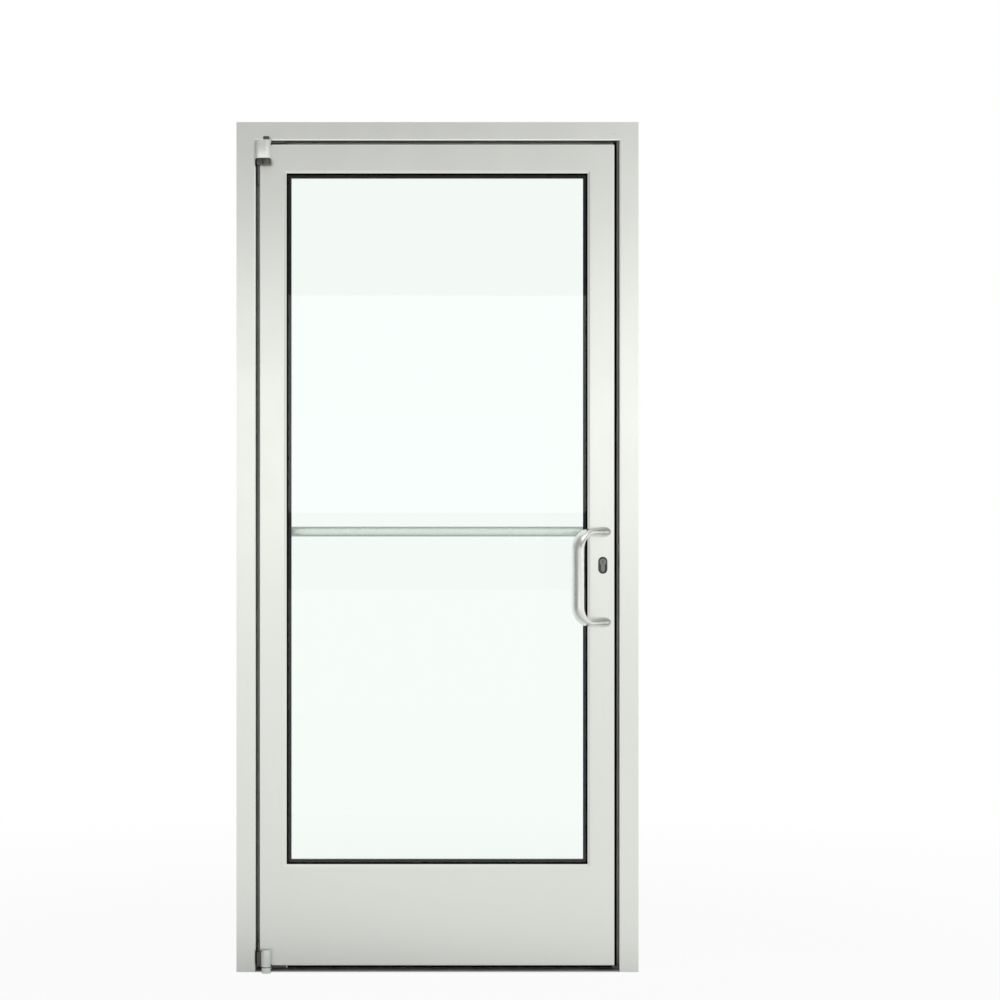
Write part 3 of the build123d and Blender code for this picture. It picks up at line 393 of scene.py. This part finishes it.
@dataclass(frozen=True)
class Compound:
    """Rubber or moulded plastic: dark, dull and a little uneven."""

    name: str
    colour: Colour
    dust: Colour
    roughness: float
    bloom: float = 0.06
    sheen: float = 0.5
    dustiness: float = 0.5
    pores: float = 700.0
    pore_depth: float = 0.00008
    pore_relief: float = 0.4
    patch_scale: Triple = (9.0, 9.0, 5.0)

    def make(self) -> bpy.types.Material:
        """Build the finish's nodes.

        Returns:
            The finish as a material.
        """
        material, shop = new_material(self.name)
        fine = shop.noise((self.pores, self.pores, self.pores), detail=2.0)
        patches = shop.noise(self.patch_scale, detail=4.0, offset=2.0)
        surface = shop.add(
            "ShaderNodeBsdfPrincipled",
            inputs={
                "Base Color": shop.blend(patches * self.dustiness, self.colour, self.dust),
                "Roughness": self.roughness + (patches - 0.5) * self.bloom,
                "Specular IOR Level": self.sheen,
                "Normal": shop.bump(fine, self.pore_depth, self.pore_relief),
            },
        )
        shop.finish(surface)
        return material


@dataclass(frozen=True)
class PaneGlass:
    """Clear float glass that bends light and lets lamps through."""

    name: str
    colour: Colour
    lamp_tint: Colour
    index: float = 1.5
    film_roughness: float = 0.012
    film_scale: Triple = (6.0, 6.0, 4.0)
    film_edges: Stops = ((0.45, 0.0), (0.75, 1.0))
    wave_scale: Triple = (3.0, 3.0, 2.0)
    wave_depth: float = 0.0002
    wave_relief: float = 0.15

    def make(self) -> bpy.types.Material:
        """Build the finish's nodes.

        Returns:
            The finish as a material.
        """
        material, shop = new_material(self.name)
        waves = shop.noise(self.wave_scale, detail=1.0)
        film = shop.ramp(shop.noise(self.film_scale, detail=5.0, offset=4.0), self.film_edges)
        glass = shop.add(
            "ShaderNodeBsdfPrincipled",
            inputs={
                "Base Color": (*self.colour, 1),
                "Roughness": film * self.film_roughness,
                "IOR": self.index,
                "Transmission Weight": 1.0,
                "Normal": shop.bump(waves, self.wave_depth, self.wave_relief),
            },
        )
        clear = shop.add("ShaderNodeBsdfTransparent", inputs={"Color": (*self.lamp_tint, 1)})
        shop.finish(shop.add("ShaderNodeMixShader", inputs={0: shop.ray(Ray.SHADOW), 1: glass, 2: clear}))
        return material


def dress(names: Iterable[str], finish: bpy.types.Material) -> None:
    """Give CAD pieces a finish, through their objects' material slots.

    Args:
        names: The nodes' names.
        finish: The material.
    """
    for name in names:
        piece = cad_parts[name]
        if not piece.material_slots:
            piece.data.materials.append(finish)
        for place in piece.material_slots:
            place.material = finish
        LOG.info("dressed %s in %s", name, finish.name)


def deselect() -> None:
    """Leave nothing selected."""
    if bpy.context.object and bpy.context.object.mode != "OBJECT":
        bpy.ops.object.mode_set(mode="OBJECT")
    bpy.ops.object.select_all(action="DESELECT")


def settle(piece: bpy.types.Object, name: str, body: str, finish: bpy.types.Material) -> bpy.types.Object:
    """Put a new piece's place into its mesh, dress it and let it ride.

    Args:
        piece: The finished object.
        name: Its name.
        body: The body it moves with.
        finish: Its material.

    Returns:
        The piece.
    """
    deselect()
    piece.select_set(True)
    bpy.context.view_layer.objects.active = piece
    bpy.ops.object.transform_apply(location=True, rotation=True, scale=True)
    piece.name = name
    piece.data.name = name
    piece.data.materials.clear()
    piece.data.materials.append(finish)
    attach(piece, body)
    LOG.info("built %s on %s", name, body)
    return piece


def soften(piece: bpy.types.Object, angle: float, width: float = 0.0) -> None:
    """Bevel a piece's edges in two steps, then shade it smooth by angle.

    Args:
        piece: The object.
        angle: Edges sharper than this, in degrees, are bevelled and stay crisp.
        width: Bevel width in metres, or 0 for none.
    """
    deselect()
    piece.select_set(True)
    bpy.context.view_layer.objects.active = piece
    if width:
        bevel = piece.modifiers.new("soft edge", "BEVEL")
        bevel.width = width
        bevel.segments = 2
        bevel.limit_method = "ANGLE"
        bevel.angle_limit = math.radians(angle)
        bpy.ops.object.modifier_apply(modifier=bevel.name)
    bpy.ops.object.shade_smooth_by_angle(angle=math.radians(angle))


def merged_copy(node: str) -> bpy.types.Object:
    """A copy of a CAD piece with its triangles joined into plain faces.

    Args:
        node: The CAD node's name.

    Returns:
        The copy, at the origin.
    """
    deselect()
    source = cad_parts[node]
    copy = bpy.data.objects.new(node + "_copy", source.data.copy())
    bpy.context.scene.collection.objects.link(copy)
    copy.select_set(True)
    bpy.context.view_layer.objects.active = copy
    bpy.ops.object.mode_set(mode="EDIT")
    bpy.ops.mesh.select_all(action="SELECT")
    bpy.ops.mesh.remove_doubles(threshold=SAME_POINT)
    bpy.ops.mesh.tris_convert_to_quads(face_threshold=FLAT_FACES, shape_threshold=math.pi)
    bpy.ops.mesh.dissolve_limited(angle_limit=STRAIGHT_EDGES)
    bpy.ops.object.mode_set(mode="OBJECT")
    return copy


@dataclass
class BentTube:
    """Bar modelled as by hand: a ring, extruded along straight runs and spun round each bend."""

    radius: float = BAR_RADIUS
    facets: int = 48
    steps: int = 16
    weld: float = 0.00002

    def start(self, place: Vector, heading: Vector) -> bpy.types.Object:
        """Add the first ring.

        Args:
            place: Its centre.
            heading: The direction the bar runs in.

        Returns:
            The object, in edit mode with the ring selected.
        """
        deselect()
        turn = heading.to_track_quat("Z", "Y").to_euler()
        bpy.ops.mesh.primitive_circle_add(vertices=self.facets, radius=self.radius, location=place, rotation=turn)
        tube = bpy.context.object
        bpy.ops.object.transform_apply(location=True, rotation=True, scale=True)
        bpy.ops.object.mode_set(mode="EDIT")
        bpy.ops.mesh.select_all(action="SELECT")
        return tube

    def run(self, move: Vector) -> None:
        """Extrude the last ring along a straight run."""
        bpy.ops.mesh.extrude_edges_move(TRANSFORM_OT_translate={"value": tuple(move)})

    def shape(self, centre: Vector, scale: Vector) -> None:
        """Scale the last ring along the world's axes.

        Args:
            centre: The ring's centre.
            scale: The factors.
        """
        bpy.ops.transform.resize(value=tuple(scale), center_override=tuple(centre))

    def bend(self, centre: Vector, axis: Vector, angle: float) -> None:
        """Spin the last ring round a bend; the operator counts its angle the left-handed way.

        Args:
            centre: A point on the bend's axis.
            axis: The axis's direction.
            angle: The turn in radians, right-handed about the axis.
        """
        bpy.ops.mesh.spin(steps=self.steps, angle=-angle, center=tuple(centre), axis=tuple(axis))

    def turn(self, angle: float, centre: Vector) -> None:
        """Turn the whole bar about an upright axis; this operator counts its angle left-handed too.

        Args:
            angle: The turn in radians, right-handed about +Z.
            centre: A point on the axis.
        """
        bpy.ops.mesh.select_all(action="SELECT")
        bpy.ops.transform.rotate(value=-angle, orient_axis="Z", center_override=tuple(centre))

    def trim(self, point: Vector, normal: Vector) -> None:
        """Cut off what lies beyond a plane and close the cut.

        Args:
            point: A point on the plane.
            normal: Towards the part that goes.
        """
        bpy.ops.mesh.select_all(action="SELECT")
        bpy.ops.mesh.bisect(plane_co=tuple(point), plane_no=tuple(normal), use_fill=True, clear_outer=True)

    def end(self) -> None:
        """Close open ends, join doubles and turn all faces outwards."""
        bpy.ops.mesh.select_all(action="SELECT")
        bpy.ops.mesh.remove_doubles(threshold=self.weld)
        bpy.ops.mesh.select_all(action="DESELECT")
        bpy.ops.mesh.select_non_manifold()
        bpy.ops.mesh.edge_face_add()
        bpy.ops.mesh.select_all(action="SELECT")
        bpy.ops.mesh.normals_make_consistent(inside=False)
        bpy.ops.object.mode_set(mode="OBJECT")


@dataclass
class Finishes:
    """All finishes of the door, made once."""

    upright: bpy.types.Material = field(init=False)
    level: bpy.types.Material = field(init=False)
    stop: bpy.types.Material = field(init=False)
    mill: bpy.types.Material = field(init=False)
    bar: bpy.types.Material = field(init=False)
    casting: bpy.types.Material = field(init=False)
    arm_casting: bpy.types.Material = field(init=False)
    dark_steel: bpy.types.Material = field(init=False)
    bronze: bpy.types.Material = field(init=False)
    zinc: bpy.types.Material = field(init=False)
    lock_steel: bpy.types.Material = field(init=False)
    lacquer: bpy.types.Material = field(init=False)
    brass: bpy.types.Material = field(init=False)
    rubber: bpy.types.Material = field(init=False)
    nylon: bpy.types.Material = field(init=False)
    spacer: bpy.types.Material = field(init=False)
    glass: bpy.types.Material = field(init=False)

    anodised: Colour = (0.825, 0.84, 0.795)
    anodised_cloud: Colour = (0.81, 0.825, 0.78)

    def __post_init__(self) -> None:
        """Make the materials."""
        clear = {
            "colour": self.anodised, "cloud": self.anodised_cloud, "roughness": 0.28,
            "metallic": 0.92, "line_depth": 0.000005, "handling": 0.015,
        }
        self.upright = DrawnMetal("anodised_upright", grain=Grain.UPRIGHT, **clear).make()
        self.level = DrawnMetal("anodised_level", grain=Grain.LEVEL, **clear).make()
        # Door stops: the frame's anodised aluminium painted dark as shade, so that the gaps round the leaf read
        # dark.
        self.stop = DrawnMetal(
            "stop_painted_gap_shade", (0.28, 0.286, 0.274), (0.24, 0.245, 0.235), 0.38, grain=Grain.UPRIGHT
        ).make()
        self.mill = DrawnMetal(
            "mill_aluminium", (0.60, 0.61, 0.60), (0.52, 0.53, 0.52), 0.42, grain=Grain.LEVEL
        ).make()
        self.bar = DrawnMetal(
            "satin_bar", (0.84, 0.85, 0.82), (0.80, 0.81, 0.78), 0.25,
            lines_per_metre=900.0, line_depth=0.00001, handling=0.04,
        ).make()
        # Castings are sanded bright, with painted shade: dark where they reach behind the frame's face and left of a
        # line by the hinge side, in the gaps' shade.
        sanded = {"colour": (0.88, 0.905, 0.865), "roughness": 0.30, "metallic": 0.60, "painted_shade_behind": -0.0585}
        self.casting = Cast("satin_casting", painted_shade=(0.07, 0.072, 0.068), painted_shade_left_of=-0.46, **sanded).make()
        self.arm_casting = Cast("arm_casting", painted_shade=(0.10, 0.102, 0.096), painted_shade_left_of=-0.4432, **sanded).make()
        self.dark_steel = Cast("ground_steel", (0.13, 0.132, 0.125), 0.34).make()
        self.bronze = Cast("oiled_bronze", (0.42, 0.28, 0.12), 0.38).make()
        self.zinc = Cast("zinc_plate", (0.60, 0.61, 0.60), 0.34).make()
        self.lock_steel = DrawnMetal(
            "lock_steel", (0.62, 0.62, 0.60), (0.55, 0.55, 0.53), 0.30, grain=Grain.UPRIGHT
        ).make()
        self.lacquer = Cast("dark_lacquer", (0.07, 0.077, 0.072), 0.42, metallic=0.35).make()
        self.brass = Cast("nickelled_brass", (0.24, 0.25, 0.235), 0.36).make()
        self.rubber = Compound("black_rubber", (0.002, 0.002, 0.002), (0.006, 0.006, 0.005), 0.85, sheen=0.04).make()
        self.nylon = Compound("black_nylon", (0.012, 0.012, 0.012), (0.03, 0.03, 0.03), 0.45).make()
        self.spacer = Compound("spacer_black", (0.004, 0.005, 0.005), (0.010, 0.011, 0.011), 0.55).make()
        self.glass = PaneGlass("float_glass", (0.957, 0.990, 0.971), (0.965, 0.985, 0.975)).make()


@dataclass
class FrameSet:
    """Jambs, head, threshold, door stops and their seals."""

    finishes: Finishes

    def build(self) -> None:
        """Dress the fixed frame."""
        dress(("hinge_jamb", "lock_jamb"), self.finishes.upright)
        dress(("head",), self.finishes.level)
        # The door stops wear the finish painted dark as the gaps' shade.
        dress(("hinge_door_stop", "lock_door_stop", "head_door_stop"), self.finishes.stop)
        dress(("threshold",), self.finishes.mill)
        dress(("hinge_weather_seal", "lock_weather_seal", "head_weather_seal"), self.finishes.rubber)
        dress(("frame_screws",), self.finishes.zinc)
        dress(("corner_cleats",), self.finishes.mill)
        dress(("strike_plate",), self.finishes.lock_steel)


@dataclass
class Pivots:
    """The two offset pivots, cast parts with softened edges."""

    finishes: Finishes
    edge: float = 0.0006

    def build(self) -> None:
        """Dress pins and bushings, and stand a softened copy in for each casting."""
        dress(("top_pivot_pin", "bottom_pivot_pin"), self.finishes.dark_steel)
        dress(("pivot_bushings",), self.finishes.bronze)
        dress(("thrust_washer",), self.finishes.nylon)
        dress(("leaf_screws",), self.finishes.zinc)
        castings = (
            ("top_pivot_bracket", "frame", self.finishes.casting),
            # The top arm wears the dark ground steel: partly its own dark colour, partly painted shade for the
            # shadow under the top pivot.
            ("top_pivot_arm", "leaf", self.finishes.dark_steel),
            ("bottom_pivot_base", "frame", self.finishes.casting),
            ("bottom_pivot_arm", "leaf", self.finishes.arm_casting),
        )
        for node, body, finish in castings:
            piece = merged_copy(node)
            soften(piece, CAST_EDGE_ANGLE, self.edge)
            settle(piece, node + "_cast", body, finish)
            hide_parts(node)


@dataclass
class Leaf:
    """Stiles, rails, glass stops and what joins them."""

    finishes: Finishes

    def build(self) -> None:
        """Dress the leaf's frame."""
        dress(("hinge_stile", "lock_stile"), self.finishes.upright)
        dress(("top_rail", "bottom_rail"), self.finishes.level)
        for face in ("outer", "inner"):
            dress((f"{face}_stop_hinge", f"{face}_stop_lock"), self.finishes.upright)
            dress((f"{face}_stop_top", f"{face}_stop_bottom"), self.finishes.level)
        dress(("tie_rods", "tie_rod_nuts"), self.finishes.zinc)
        dress(("corner_blocks",), self.finishes.mill)
        dress(("bottom_sweep",), self.finishes.rubber)


@dataclass
class Glazing:
    """The insulating unit, its gaskets and the blocks it stands on."""

    finishes: Finishes

    def build(self) -> None:
        """Dress panes, spacer, gaskets and blocks."""
        dress(("outer_pane", "inner_pane"), self.finishes.glass)
        dress(("glass_spacer",), self.finishes.spacer)
        dress(("outer_gaskets", "inner_gaskets", "setting_blocks"), self.finishes.rubber)


@dataclass
class Pull:
    """Offset pull outside: an oval bar bent twice, round at its feet, which are cut flush with the stile."""

    finishes: Finishes
    foot_radius: float = BAR_RADIUS
    foot_straight: float = 0.006
    neck_straight: float = 0.004
    width: float = 0.038
    thickness: float = 0.018
    reach: float = 0.095
    bend: float = 0.043
    turn: float = math.radians(45)
    centres: float = 0.2286
    height: float = BAR_HEIGHT
    foot_x: float = 0.421
    face_y: float = -0.05215
    neck_rings: int = 8

    def section(self, share: float) -> tuple[float, float]:
        """Half width and half thickness of the neck.

        Args:
            share: 0 at the foot and 1 at the grip.

        Returns:
            The two half sizes.
        """
        wide = self.foot_radius + (self.width / 2 - self.foot_radius) * share
        thick = self.foot_radius + (self.thickness / 2 - self.foot_radius) * share
        return wide, thick

    def neck(self, tube: BentTube, place: Vector, heading: Vector, order: Sequence[float]) -> Vector:
        """Extrude the neck ring by ring while its section changes.

        Args:
            tube: The bar in work.
            place: The last ring's centre.
            heading: The direction of the run.
            order: The shares that the rings take, the last ring's own share first.

        Returns:
            The new last ring's centre.
        """
        neck_end = self.reach - self.bend - self.neck_straight
        step = heading * ((neck_end - self.foot_straight) / self.neck_rings)
        for before, after in zip(order, order[1:]):
            tube.run(step)
            place = place + step
            old, new = self.section(before), self.section(after)
            tube.shape(place, Vector((new[0] / old[0], 1, new[1] / old[1])))
        return place

    def build(self) -> None:
        """Bend the bar square to the door, turn it, cut its feet and let it stand in for the CAD pull."""
        outward, up = Vector((0, -1, 0)), Vector((0, 0, 1))
        side = outward.cross(up)
        foot = Vector((self.foot_x, self.face_y, self.height))
        buried = 2 * self.foot_radius
        shares = [n / self.neck_rings for n in range(self.neck_rings + 1)]
        tube = BentTube(self.foot_radius)
        piece = tube.start(foot - outward * buried, outward)
        tube.run(outward * (buried + self.foot_straight))
        place = self.neck(tube, foot + outward * self.foot_straight, outward, shares)
        tube.run(outward * self.neck_straight)
        centre = place + outward * self.neck_straight - up * self.bend
        tube.bend(centre, side, -QUARTER_TURN)
        drop = up * (2 * self.bend - self.centres)
        tube.run(drop)
        tube.bend(centre + drop, side, -QUARTER_TURN)
        tube.run(-outward * self.neck_straight)
        self.neck(tube, place - up * self.centres, -outward, shares[::-1])
        tube.run(-outward * (buried + self.foot_straight))
        tube.turn(-self.turn, foot)
        tube.trim(Vector((0, self.face_y, 0)), Vector((0, 1, 0)))
        tube.end()
        soften(piece, BAR_EDGE_ANGLE)
        settle(piece, "pull_grip", "leaf", self.finishes.bar)
        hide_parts("pull_handle")


@dataclass
class PushBar:
    """Bar across the inside: bent back to the stiles at both ends."""

    finishes: Finishes
    bend: float = 0.048
    height: float = BAR_HEIGHT
    hinge_x: float = -0.4234
    lock_x: float = 0.421
    face_y: float = -0.0077
    bar_y: float = 0.0573

    def build(self) -> None:
        """Bend the bar and let it stand in for the CAD bar."""
        tube = BentTube()
        inwards, up = Vector((0, 1, 0)), Vector((0, 0, 1))
        left, right, bent_y = self.hinge_x + self.bend, self.lock_x - self.bend, self.bar_y - self.bend
        piece = tube.start(Vector((self.hinge_x, self.face_y, self.height)), inwards)
        tube.run(inwards * (bent_y - self.face_y))
        tube.bend(Vector((left, bent_y, self.height)), up, -QUARTER_TURN)
        tube.run(Vector((right - left, 0, 0)))
        tube.bend(Vector((right, bent_y, self.height)), up, -QUARTER_TURN)
        tube.run(inwards * (self.face_y - bent_y))
        tube.end()
        soften(piece, BAR_EDGE_ANGLE)
        settle(piece, "push_bar_tube", "leaf", self.finishes.bar)
        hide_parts("push_bar")
        dress(("bolt_cap",), self.finishes.bar)
        dress(("handle_bolts", "push_bar_stud"), self.finishes.zinc)


@dataclass
class Lock:
    """Case, faceplate, bolt, cylinder and the roses round it."""

    finishes: Finishes
    edge: float = 0.0004

    def build(self) -> None:
        """Dress the lock and soften its roses."""
        dress(("lock_case", "cylinder_screw"), self.finishes.zinc)
        dress(("lock_faceplate", "deadbolt"), self.finishes.lock_steel)
        dress(("cylinder_body", "key_plug", "cylinder_cam"), self.finishes.brass)
        trims = (("outer_escutcheon", "leaf"), ("inner_escutcheon", "leaf"), ("thumbturn", "thumbturn"))
        for node, body in trims:
            piece = merged_copy(node)
            soften(piece, CAST_EDGE_ANGLE, self.edge)
            settle(piece, node + "_rounded", body, self.finishes.lacquer)
            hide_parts(node)


@dataclass(frozen=True)
class Softbox:
    """Soft rectangular lamp that lights and shows in metal, but not to the camera or through glass."""

    name: str
    place: Triple
    aim: Triple
    width: float
    height: float
    radiance: float

    def hang(self) -> None:
        """Put the lamp up; its radiance is how bright its face is, where 1 is white."""
        data = bpy.data.lights.new(self.name, "AREA")
        data.shape = "RECTANGLE"
        data.size = self.width
        data.size_y = self.height
        data.energy = self.radiance * math.pi * self.width * self.height
        lamp = bpy.data.objects.new(self.name, data)
        lamp.location = self.place
        lamp.rotation_euler = (Vector(self.aim) - Vector(self.place)).to_track_quat("-Z", "Y").to_euler()
        lamp.visible_camera = False
        lamp.visible_transmission = False
        bpy.context.scene.collection.objects.link(lamp)


@dataclass
class Studio:
    """Pale floor, white world, soft lamps and the camera."""

    camera_place: Triple = (0.158, -7.06, 1.193)
    sensor_width: float = 36.0
    door_face_y: float = -0.057
    world_level: float = 0.42
    floor_size: float = 60.0
    floor_z: float = -0.0005
    floor_grey: float = 0.70
    floor_glow: Stops = ((0.3, 0.93), (0.9, 1.0))
    glow_scale: float = 0.25
    # Painted shade in reflection: the floor's glow as metal mirrors it, cut towards the door's front.
    mirrored: Stops = ((0.0, 0.0), (0.2, 0.30), (0.25, 0.45), (0.334, 0.72), (0.45, 0.86), (0.7, 0.93), (1.0, 0.95))
    mirrored_start: float = 1.0
    mirrored_slant: float = 0.4
    mirrored_scale: float = 0.2
    lamps: tuple[Softbox, ...] = (
        Softbox("front_softbox", (-0.15, -7.7, 1.70), (0.0, 0, 1.5), 5.7, 1.15, 1.19),
        Softbox("low_front_softbox", (-1.0, -7.9, 0.85), (-0.3, 0, 1.0), 2.8, 1.6, 0.20),
        Softbox("upper_right_softbox", (2.7, -6.6, 3.0), (0.2, 0, 1.6), 2.5, 2.6, 1.00),
        Softbox("right_softbox", (4.2, -4.6, 1.3), (0.2, 0, 1.2), 4.4, 3.2, 0.42),
        Softbox("side_softbox", (3.0, 0.3, 1.9), (0.4, 0, 1.2), 3.2, 3.6, 0.44),
        Softbox("left_softbox", (-4.2, -4.4, 1.2), (-0.3, 0, 1.1), 3.4, 2.6, 0.42),
        Softbox("overhead_softbox", (0.1, -1.4, 4.2), (0, -0.2, 1.2), 3.6, 2.4, 0.95),
        Softbox("back_softbox", (1.5, 6.5, 1.8), (0, 0, 1.2), 9.0, 4.0, 0.34),
    )

    def pale(self, name: str) -> bpy.types.Material:
        """White floor whose light, as metal mirrors it, is painted darker near the door's front and at its left, as
        painted shade in reflection.

        Args:
            name: The material's name.

        Returns:
            The material.
        """
        material, shop = new_material(name)
        place = shop.place()
        distance = shop.add("ShaderNodeVectorMath", {"operation": "LENGTH"}, {0: place}, "Value")
        plain = shop.ramp(distance * self.glow_scale, self.floor_glow)
        # Painted shade in reflection: on glossy rays the floor's glow is cut near the door's front and towards its
        # left.
        reach = self.mirrored_start + shop.axis(place, "X") * self.mirrored_slant - shop.axis(place, "Y")
        mirrored = shop.ramp(reach * self.mirrored_scale, self.mirrored)
        direct = shop.direct()
        share = direct * plain + shop.ray(Ray.GLOSSY) * (1.0 - direct) * mirrored
        grey = self.floor_grey
        paint = shop.add("ShaderNodeBsdfDiffuse", inputs={"Color": (grey, grey, grey, 1)})
        light = shop.add("ShaderNodeEmission", inputs={"Color": WHITE, "Strength": 1.0})
        shop.finish(shop.add("ShaderNodeMixShader", inputs={0: share, 1: paint, 2: light}))
        return material

    def lay_floor(self) -> None:
        """Lay the floor as a sheet of the set."""
        deselect()
        bpy.ops.mesh.primitive_plane_add(size=self.floor_size, location=(0, 0, self.floor_z))
        sheet = bpy.context.object
        sheet.name = "floor"
        sheet.data.materials.append(self.pale("floor_white"))

    def light_world(self) -> None:
        """White to the camera and through glass, darker as light and in metal."""
        scene = bpy.context.scene
        world = scene.world or bpy.data.worlds.new("studio")
        scene.world = world
        world.use_nodes = True
        shop = NodeShop(world.node_tree)
        level = self.world_level + shop.direct() * (1.0 - self.world_level)
        ground = shop.add("ShaderNodeBackground", inputs={"Color": WHITE, "Strength": level})
        shop.finish(ground, "ShaderNodeOutputWorld")

    def place_camera(self) -> None:
        """Stand the camera so that the door fills the picture as in the photograph."""
        scene = bpy.context.scene
        data = bpy.data.cameras.new("camera")
        distance = self.door_face_y - self.camera_place[1]
        data.sensor_width = self.sensor_width
        data.lens = data.sensor_width * distance / IMAGE_WIDTH_ON_DOOR
        camera = bpy.data.objects.new("camera", data)
        camera.location = self.camera_place
        camera.rotation_euler = (QUARTER_TURN, 0, 0)
        scene.collection.objects.link(camera)
        scene.camera = camera

    def build(self) -> None:
        """Set up the floor, world, lamps and camera."""
        bpy.context.scene.view_settings.view_transform = "Standard"
        self.lay_floor()
        self.light_world()
        for lamp in self.lamps:
            lamp.hang()
        self.place_camera()


def main() -> None:
    """Build the door's looks and the studio in order."""
    logging.basicConfig(level=logging.INFO, format="%(message)s")
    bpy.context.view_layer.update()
    finishes = Finishes()
    stages: tuple[Callable[[], None], ...] = (
        FrameSet(finishes).build,
        Pivots(finishes).build,
        Leaf(finishes).build,
        Glazing(finishes).build,
        Pull(finishes).build,
        PushBar(finishes).build,
        Lock(finishes).build,
        Studio().build,
    )
    for build in stages:
        build()
    deselect()


if __name__ == "__main__":
    main()
